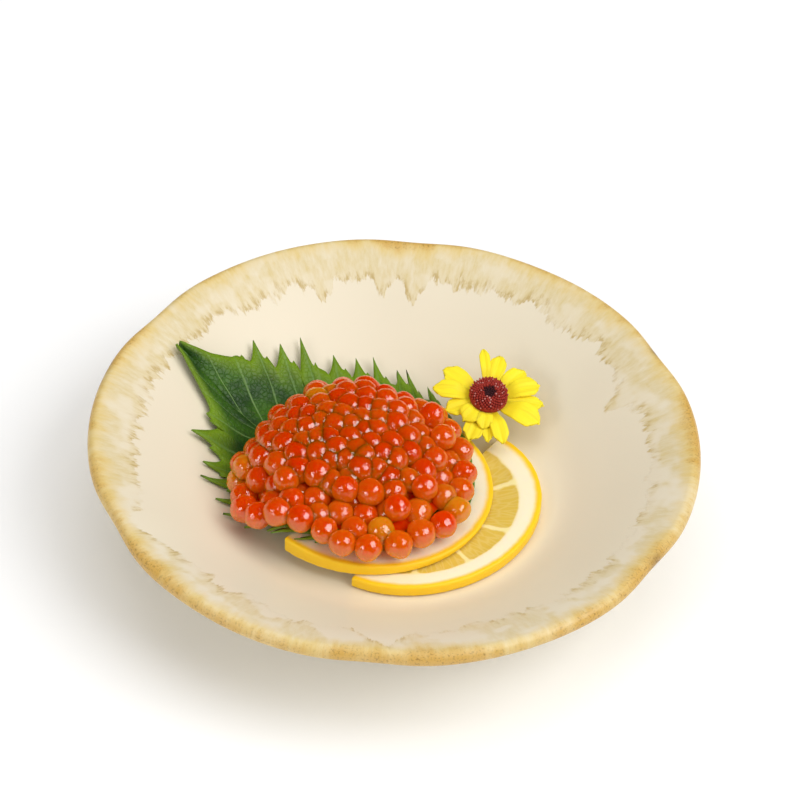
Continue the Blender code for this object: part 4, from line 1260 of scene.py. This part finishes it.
class ROE_OT_add_roe(bpy.types.Operator):
    """Add the heap of salmon eggs over its core"""

    bl_idname = "salmon_roe.add_roe"
    bl_label = "Add Roe"

    def execute(self, context):
        settings = context.scene.roe_settings
        rng = random.Random(HEAP_SEED)
        material = roe_material(settings, "salmon_egg", settings.clearness)
        eggs = [(Vector(place), radius) for place, radius in zip(*egg_layout())]
        for name, faces, outer in (("roe_eggs", 3, True), ("roe_inner_eggs", 2, False)):
            bm = bmesh.new()
            layers = [bm.verts.layers.float.new(layer) for layer in ("amber", "glow")]
            for place, radius in eggs:
                if egg_shows(place, radius) != outer:
                    continue
                # Painted light: eggs low down at the right and the loose eggs with light behind
                # them get more amber; the rest is random tone.
                low = 1.0 - smoothstep(*PAINTED_LIGHT_HEIGHTS, place.z - under_roe(place.x, place.y))
                right = smoothstep(*PAINTED_LIGHT_PLACES, place.x)
                loose = min(math.dist(place.xy, spot) for spot in PAINTED_BACKLIT_EGGS) / PAINTED_BACKLIT_REACH
                amber = (AMBER_SPREAD + PAINTED_LIGHT_LOW_RIGHT * low * right) * rng.random()
                amber += PAINTED_BACKLIGHT * math.exp(-(loose**4))
                add_egg(bm, place, radius * EGG_FULLNESS, faces, settings.dents, amber, layers)
            keep_piece(bm, name, material, "salmon_roe")
        bm = bmesh.new()
        bmesh.ops.create_uvsphere(bm, u_segments=CORE_SEGMENTS, v_segments=CORE_RINGS, radius=1.0)
        for vert in bm.verts:
            top = start_place(Vector((vert.co.x, vert.co.y, abs(vert.co.z))), CORE_DEPTH)
            if vert.co.z < 0.0:
                top.z = under_roe(top.x, top.y) + CORE_CLEARANCE
            vert.co = top
        core = roe_material(settings, "roe_core", 0.0, 0.0)
        keep_piece(bm, "roe_core", core, "salmon_roe")
        return {"FINISHED"}


# ---------------------------------------------------------------- flower


class FlowerSettings(bpy.types.PropertyGroup):
    """Sizes and colours of the flower."""

    petal: bpy.props.FloatVectorProperty(
        name="Petal", description="Colour of the petals", subtype="COLOR",
        default=to_linear("#FFE81A"), min=0.0, max=1.0,
    )
    petal_shade: bpy.props.FloatVectorProperty(
        name="Petal crease", description="Colour along the creases and near the disc",
        subtype="COLOR", default=to_linear("#E3C800"), min=0.0, max=1.0,
    )
    disc: bpy.props.FloatVectorProperty(
        name="Disc", description="Colour of the open florets", subtype="COLOR",
        default=to_linear("#A02A1C"), min=0.0, max=1.0,
    )
    bud: bpy.props.FloatVectorProperty(
        name="Buds", description="Colour of the closed florets in the middle", subtype="COLOR",
        default=to_linear("#3A0A14"), min=0.0, max=1.0,
    )
    pollen: bpy.props.FloatVectorProperty(
        name="Pollen", description="Colour of the pollen grains", subtype="COLOR",
        default=to_linear("#D8A098"), min=0.0, max=1.0,
    )
    calyx: bpy.props.FloatVectorProperty(
        name="Calyx", description="Colour of the cup and stem", subtype="COLOR",
        default=to_linear("#5E8330"), min=0.0, max=1.0,
    )
    florets: bpy.props.IntProperty(
        name="Florets", description="Number of florets on the disc", default=210, min=40, max=400
    )


PETAL_COLUMNS = 12
PETAL_ROWS = 20
PETAL_THINNING = 0.8
PETAL_ROUND_START = 0.8
PETAL_ROUND_LENGTH = 0.215
PETAL_SHOULDER = 0.22
PETAL_FRILL = 0.3 * MM
CREASE_DEPTH = 0.16 * MM
FLORET_RADIUS = 0.36 * MM
FLORET_HEIGHT = 0.75 * MM
BUD_RADIUS = 1.7 * MM
DISC_SEED = 3
DISC_SUNK = 0.3 * MM
DISC_DIMPLE = 0.5 * MM
# The florets stand on a dome that is a little smaller than the disc with its florets.
DISC_INSET = 0.94
DISC_LOWERING = 0.8
BUD_ZONE = (0.2, 0.45)
BUD_WIDTH = 0.7
BUD_TALLNESS = 0.5
FLORET_WIDTHS = (0.8, 1.2)
FLORET_TALLNESS = (0.6, 1.1)
FLORET_UPRIGHT = 0.9
GOLDEN_SHARE = 3.0 - math.sqrt(5.0)
FLORET_REACH = 0.97
POLLEN_SHARE = 0.22
CALYX_STEPS = 32
RIB_SIZE = 0.8 * MM


def petal_blade(bm, angle, length, width, front, seed):
    """One petal, narrow at the hub, round at its end, with soft creases along it."""
    rise = PETAL_RISE + front * PETAL_STEP
    grid = bmesh.ops.create_grid(
        bm, x_segments=PETAL_COLUMNS, y_segments=PETAL_ROWS, size=1.0
    )["verts"]
    layer = bm.verts.layers.float_vector["petal"]
    for vert in grid:
        side = vert.co.x
        share = (vert.co.y + 1.0) / 2.0
        outline = PETAL_ROOT + (1.0 - PETAL_ROOT) * smoothstep(0.0, PETAL_FULL, share)
        rounding = max((share - PETAL_ROUND_START) / PETAL_ROUND_LENGTH, 0.0)
        outline *= math.sqrt(max(1.0 - rounding**2, 0.0))
        out = PETAL_START + share * (length - PETAL_START)
        out -= PETAL_SHOULDER * width * side * side * share**3
        out -= PETAL_FRILL * share**4 * (0.5 + 0.5 * math.cos(side * 7.0 + seed))
        lift = rise * math.sin(PETAL_CURVE * math.pi * share) * smoothstep(*PETAL_BEND, share)
        lift -= PETAL_HOLLOW * width * (1.0 - abs(side)) * share
        lift -= CREASE_DEPTH * math.cos(side * 2.0 * math.pi) * share * (1.0 - side * side)
        vert[layer] = (side, share, seed)
        vert.co = (out, side * outline * width / 2.0, lift)
    bmesh.ops.rotate(bm, matrix=Matrix.Rotation(angle, 3, "Z"), verts=grid)


def petal_ring():
    """The petals in their places round the hub, face up in the flower's own frame."""
    bm = bmesh.new()
    bm.verts.layers.float_vector.new("petal")
    for seed, (degrees, length, width, front) in enumerate(PETALS):
        petal_blade(bm, math.radians(degrees), length * MM, width * MM, front, float(seed))
    bmesh.ops.triangulate(bm, faces=bm.faces)
    return bm


def disc_point(share, angle, height):
    """A point of the domed disc, sunk a little in its middle."""
    dimple = DISC_DIMPLE * (1.0 - smoothstep(0.0, 0.5, share))
    reach = DISC_RADIUS * DISC_INSET * share
    height = height * DISC_HEIGHT * DISC_LOWERING - dimple
    return Vector((reach * math.cos(angle), reach * math.sin(angle), height))


def floret_disc(florets):
    """The domed disc with its ring of open florets and the closed buds in its middle."""
    bm = bmesh.new()
    layer = bm.verts.layers.float_vector.new("floret")
    bmesh.ops.create_uvsphere(bm, u_segments=32, v_segments=16, radius=1.0)
    below = [vert for vert in bm.verts if vert.co.z < -0.001]
    bmesh.ops.delete(bm, geom=below, context="VERTS")
    bmesh.ops.holes_fill(bm, edges=bm.edges, sides=0)
    for vert in bm.verts:
        vert[layer] = (1.0 - smoothstep(*BUD_ZONE, vert.co.xy.length), 0.0, 0.0)
        turn = math.atan2(vert.co.y, vert.co.x)
        vert.co = disc_point(vert.co.xy.length, turn, vert.co.z) - Vector((0, 0, DISC_SUNK))
    rng = random.Random(DISC_SEED)
    for index in range(florets):
        share = math.sqrt((index + 0.5) / florets)
        turn = index * math.pi * GOLDEN_SHARE
        reach = share * FLORET_REACH
        spot = disc_point(reach, turn, math.sqrt(1.0 - reach**2))
        bud = spot.xy.length < BUD_RADIUS
        size = FLORET_RADIUS * rng.uniform(*FLORET_WIDTHS) * (BUD_WIDTH if bud else 1.0)
        floret = bmesh.ops.create_icosphere(bm, subdivisions=1, radius=1.0)["verts"]
        out = Vector((spot.x, spot.y, DISC_RADIUS * FLORET_UPRIGHT)).normalized()
        turned = out.to_track_quat("Z", "Y").to_matrix()
        tall = FLORET_HEIGHT * rng.uniform(*FLORET_TALLNESS) * (BUD_TALLNESS if bud else 1.0)
        pollen = 1.0 if not bud and rng.random() < POLLEN_SHARE else 0.0
        for vert in floret:
            vert[layer] = (1.0 if bud else 0.0, pollen if vert.co.z > 0.5 else 0.0, 0.0)
            local = Vector((vert.co.x * size, vert.co.y * size, vert.co.z * tall))
            vert.co = spot + turned @ local
    bmesh.ops.triangulate(bm, faces=bm.faces)
    bmesh.ops.translate(bm, vec=(0.0, 0.0, HUB_HEIGHT / 2.0 + GAP), verts=bm.verts)
    return bm


def cup_and_stem():
    """The cup under the petals and the stem below it, turned from one profile."""
    profile = [
        (0.0, CALYX_TOP), (CALYX_RADIUS * 0.9, CALYX_TOP), (CALYX_RADIUS, CALYX_TOP - 0.4 * MM),
        (CALYX_RADIUS * 0.9, CALYX_TOP - 0.35 * CALYX_DEPTH),
        (CALYX_RADIUS * 0.66, CALYX_TOP - 0.7 * CALYX_DEPTH),
        (STEM_RADIUS * 1.15, CALYX_TOP - 0.95 * CALYX_DEPTH),
        (STEM_RADIUS * 0.95, CALYX_TOP - CALYX_DEPTH - 0.15 * STEM_LENGTH),
        (STEM_RADIUS * 0.95, CALYX_TOP - CALYX_DEPTH - STEM_LENGTH + 0.3 * MM),
        (STEM_RADIUS * 0.7, CALYX_TOP - CALYX_DEPTH - STEM_LENGTH),
        (0.0, CALYX_TOP - CALYX_DEPTH - STEM_LENGTH),
    ]
    bm = spin_profile(profile, CALYX_STEPS)
    bmesh.ops.recalc_face_normals(bm, faces=bm.faces)
    return bm


def petal_material(settings):
    """Ray petals of a garden daisy: thin and velvety, a saturated lemon yellow.

    The face is matt and even. Shallow creases along it and the foot by the disc are a deeper,
    greener yellow.
    """
    material, add, shader = new_material("yellow_petal")
    place = add("Attribute", (), "Vector", attribute_name="petal")
    share = add("SeparateXYZ", (place,), "Y")
    streak_place = add("VectorMath", (place, (5.0, 0.8, 3.0)), operation="MULTIPLY")
    streaks = add("TexNoise", {"Vector": streak_place, "Scale": 1.0, "Detail": 3.0})
    streak = add("MapRange", (streaks, 0.5, 0.75, 0.0, 0.6))
    foot = add("MapRange", (share, 0.2, 0.55, 0.7, 0.0))
    deep = add("Math", (streak, foot), operation="MAXIMUM")
    color = add(
        "Mix", {FACTOR: deep, UNDER: settings.petal, OVER: settings.petal_shade}, BLEND, **COLORS
    )
    bump = add("Bump", {"Height": streaks, "Strength": 0.3, "Distance": 0.2 * MM})
    set_inputs(shader, {
        "Base Color": color, "Roughness": 0.6, "Sheen Weight": 0.1, "Subsurface Weight": 0.25,
        "Subsurface Radius": (1.0, 0.9, 0.1), "Subsurface Scale": 0.8 * MM, "Normal": bump,
    })
    return material


def disc_material(settings):
    """Disc florets: tiny velvety tubes, dark red with pale pollen, and darker closed buds."""
    material, add, shader = new_material("disc_florets")
    kind = add("Attribute", (), "Vector", attribute_name="floret")
    parts = add("SeparateXYZ", (kind,)).node.outputs
    color = settings.disc
    for share, layer in ((parts["X"], settings.bud), (parts["Y"], settings.pollen)):
        color = add("Mix", {FACTOR: share, UNDER: color, OVER: layer}, BLEND, **COLORS)
    set_inputs(shader, {
        "Base Color": color, "Roughness": 0.7, "Sheen Weight": 0.3,
        "Sheen Tint": to_linear("#C06A60"),
    })
    return material


def calyx_material(settings):
    """Calyx and stem: soft green plant tissue with fine ribs along it."""
    material, add, shader = new_material("green_calyx")
    solid = add("TexCoord", (), "Object")
    ribs = add("TexNoise", {"Vector": solid, "Scale": 1.0 / RIB_SIZE, "Detail": 3.0})
    deep = [channel / 2.0 for channel in settings.calyx]
    color = add("Mix", {FACTOR: ribs, UNDER: settings.calyx, OVER: deep}, BLEND, **COLORS)
    set_inputs(shader, {"Base Color": color, "Roughness": 0.55})
    return material


class ROE_OT_add_flower(bpy.types.Operator):
    """Add the flower with its petals, disc, calyx and stem"""

    bl_idname = "salmon_roe.add_flower"
    bl_label = "Add Flower"

    def execute(self, context):
        settings = context.scene.flower_settings
        petals, disc, cup = petal_ring(), floret_disc(settings.florets), cup_and_stem()
        for bm in (petals, disc, cup):
            bmesh.ops.transform(bm, matrix=flower_matrix(), verts=bm.verts)
        yellow = petal_material(settings)
        sheets = keep_piece(petals, "ray_petals", yellow, "flower_petals")
        thicken(sheets, PETAL_THICKNESS * PETAL_THINNING)
        maroon = disc_material(settings)
        keep_piece(disc, "disc_florets", maroon, "flower_disc")
        green = calyx_material(settings)
        keep_piece(cup, "calyx_and_stem", green, "flower_calyx", CREASE)
        return {"FINISHED"}


# ---------------------------------------------------------------- stage


# The camera was fitted to the photograph: its distance and aim in metres, its focal length and
# the offset of the picture in pixels.
CAMERA_ELEVATION = math.radians(43.3908)
CAMERA_DISTANCE = 0.82612
CAMERA_FOCAL = 3273.35
CAMERA_ROLL = -0.0512
CAMERA_AIM_HEIGHT = 0.031
IMAGE_OFFSET = (-4.8607, 33.0292)
SENSOR_WIDTH = 36.0
FLOOR_HALF_SIZE = 3.0


class StageSettings(bpy.types.PropertyGroup):
    """Light and floor."""

    floor: bpy.props.FloatVectorProperty(
        name="Floor", description="Colour of the floor", subtype="COLOR", default=(1.0, 1.0, 1.0),
        min=0.0, max=1.0,
    )
    surround: bpy.props.FloatProperty(
        name="Surround", description="Strength of the white light from all round", default=0.36,
        min=0.0, max=5.0,
    )
    key: bpy.props.FloatProperty(
        name="Key light", description="Power of the large softbox at the right, in watts",
        default=28.0, min=0.0, max=100.0,
    )
    top: bpy.props.FloatProperty(
        name="Top light", description="Power of the wide soft light above the plate, in watts",
        default=18.0, min=0.0, max=100.0,
    )
    fill: bpy.props.FloatProperty(
        name="Fill light", description="Power of the small softbox at the left, in watts",
        default=2.6, min=0.0, max=100.0,
    )


def add_softbox(name, direction, distance, width, height, power, mirrored=True):
    """A rectangular light that faces the plate from a direction; wet skins may mirror it."""
    light = bpy.data.lights.new(name, "AREA")
    light.shape = "RECTANGLE"
    light.size = width
    light.size_y = height
    light.energy = power
    obj = bpy.data.objects.new(name, light)
    bpy.context.scene.collection.objects.link(obj)
    towards = Vector(direction).normalized()
    obj.location = towards * distance
    obj.rotation_mode = "QUATERNION"
    obj.rotation_quaternion = towards.to_track_quat("Z", "Y")
    obj.visible_glossy = mirrored


def add_floor(color):
    """A wide plain floor under the plate."""
    bm = bmesh.new()
    bmesh.ops.create_grid(bm, x_segments=1, y_segments=1, size=FLOOR_HALF_SIZE)
    mesh = bpy.data.meshes.new("floor")
    bm.to_mesh(mesh)
    bm.free()
    material, _, shader = new_material("pale_floor")
    set_inputs(shader, {"Base Color": color, "Roughness": 0.9})
    mesh.materials.append(material)
    floor = bpy.data.objects.new("floor", mesh)
    bpy.context.scene.collection.objects.link(floor)


def add_surround(strength):
    """Even white light from all round, which wet skins don't mirror."""
    world = bpy.data.worlds.new("white_studio")
    world.use_nodes = True
    background = world.node_tree.nodes["Background"]
    set_inputs(background, {"Color": (1.0, 1.0, 1.0), "Strength": strength})
    world.cycles_visibility.glossy = False
    bpy.context.scene.world = world


def add_camera():
    """The camera, in front of the plate and looking down on it as in the photograph."""
    camera = bpy.data.cameras.new("camera")
    camera.sensor_width = SENSOR_WIDTH
    camera.lens = CAMERA_FOCAL / IMAGE_SIZE * SENSOR_WIDTH
    camera.shift_x = -IMAGE_OFFSET[0] / IMAGE_SIZE
    camera.shift_y = IMAGE_OFFSET[1] / IMAGE_SIZE
    viewer = bpy.data.objects.new("camera", camera)
    bpy.context.scene.collection.objects.link(viewer)
    ahead = Vector((0.0, math.cos(CAMERA_ELEVATION), -math.sin(CAMERA_ELEVATION)))
    right = Vector((1.0, 0.0, 0.0))
    turn = Matrix((right, right.cross(ahead), -ahead)).transposed()
    matrix = (turn @ Matrix.Rotation(-CAMERA_ROLL, 3, "Z")).to_4x4()
    matrix.translation = Vector((0.0, 0.0, CAMERA_AIM_HEIGHT)) - ahead * CAMERA_DISTANCE
    viewer.matrix_world = matrix
    bpy.context.scene.camera = viewer


class ROE_OT_add_stage(bpy.types.Operator):
    """Add the floor, the lights and the camera"""

    bl_idname = "salmon_roe.add_stage"
    bl_label = "Add Stage"

    def execute(self, context):
        settings = context.scene.stage_settings
        add_floor(settings.floor)
        add_surround(settings.surround)
        add_softbox("key_softbox", (0.62, -0.22, 0.72), 2.2, 1.75, 1.35, settings.key)
        add_softbox("fill_softbox", (-0.60, -0.62, 0.50), 1.2, 0.4, 0.5, settings.fill)
        add_softbox("top_softbox", (0.0, 0.1, 1.0), 2.2, 2.0, 2.0, settings.top, False)
        add_camera()
        context.scene.view_settings.view_transform = "Standard"
        return {"FINISHED"}


class ROE_PT_panel(bpy.types.Panel):
    """Buttons for the plate of salmon roe"""

    bl_label = "Salmon Roe Sashimi"
    bl_idname = "ROE_PT_panel"
    bl_space_type = "VIEW_3D"
    bl_region_type = "UI"
    bl_category = "Salmon Roe"

    def draw(self, context):
        for operator in OPERATORS:
            self.layout.operator(operator.bl_idname)
        for name in SETTINGS:
            group = getattr(context.scene, name)
            box = self.layout.box()
            for prop in group.bl_rna.properties:
                if prop.identifier not in ("rna_type", "name"):
                    box.prop(group, prop.identifier)


OPERATORS = (
    ROE_OT_add_plate, ROE_OT_add_lemon, ROE_OT_add_leaf,
    ROE_OT_add_roe, ROE_OT_add_flower, ROE_OT_add_stage,
)
SETTINGS = {
    "glaze_settings": GlazeSettings,
    "lemon_settings": LemonSettings,
    "leaf_settings": LeafSettings,
    "roe_settings": RoeSettings,
    "flower_settings": FlowerSettings,
    "stage_settings": StageSettings,
}


def register():
    """Register the settings, the operators and the panel."""
    for name, group in SETTINGS.items():
        bpy.utils.register_class(group)
        setattr(bpy.types.Scene, name, bpy.props.PointerProperty(type=group))
    for operator in OPERATORS:
        bpy.utils.register_class(operator)
    bpy.utils.register_class(ROE_PT_panel)


def unregister():
    """Take them off again."""
    bpy.utils.unregister_class(ROE_PT_panel)
    for operator in reversed(OPERATORS):
        bpy.utils.unregister_class(operator)
    for name, group in SETTINGS.items():
        delattr(bpy.types.Scene, name)
        bpy.utils.unregister_class(group)


def main():
    """Make every piece and the stage."""
    register()
    bpy.ops.salmon_roe.add_plate()
    bpy.ops.salmon_roe.add_lemon()
    bpy.ops.salmon_roe.add_leaf()
    bpy.ops.salmon_roe.add_roe()
    bpy.ops.salmon_roe.add_flower()
    bpy.ops.salmon_roe.add_stage()


if __name__ == "__main__":
    main()
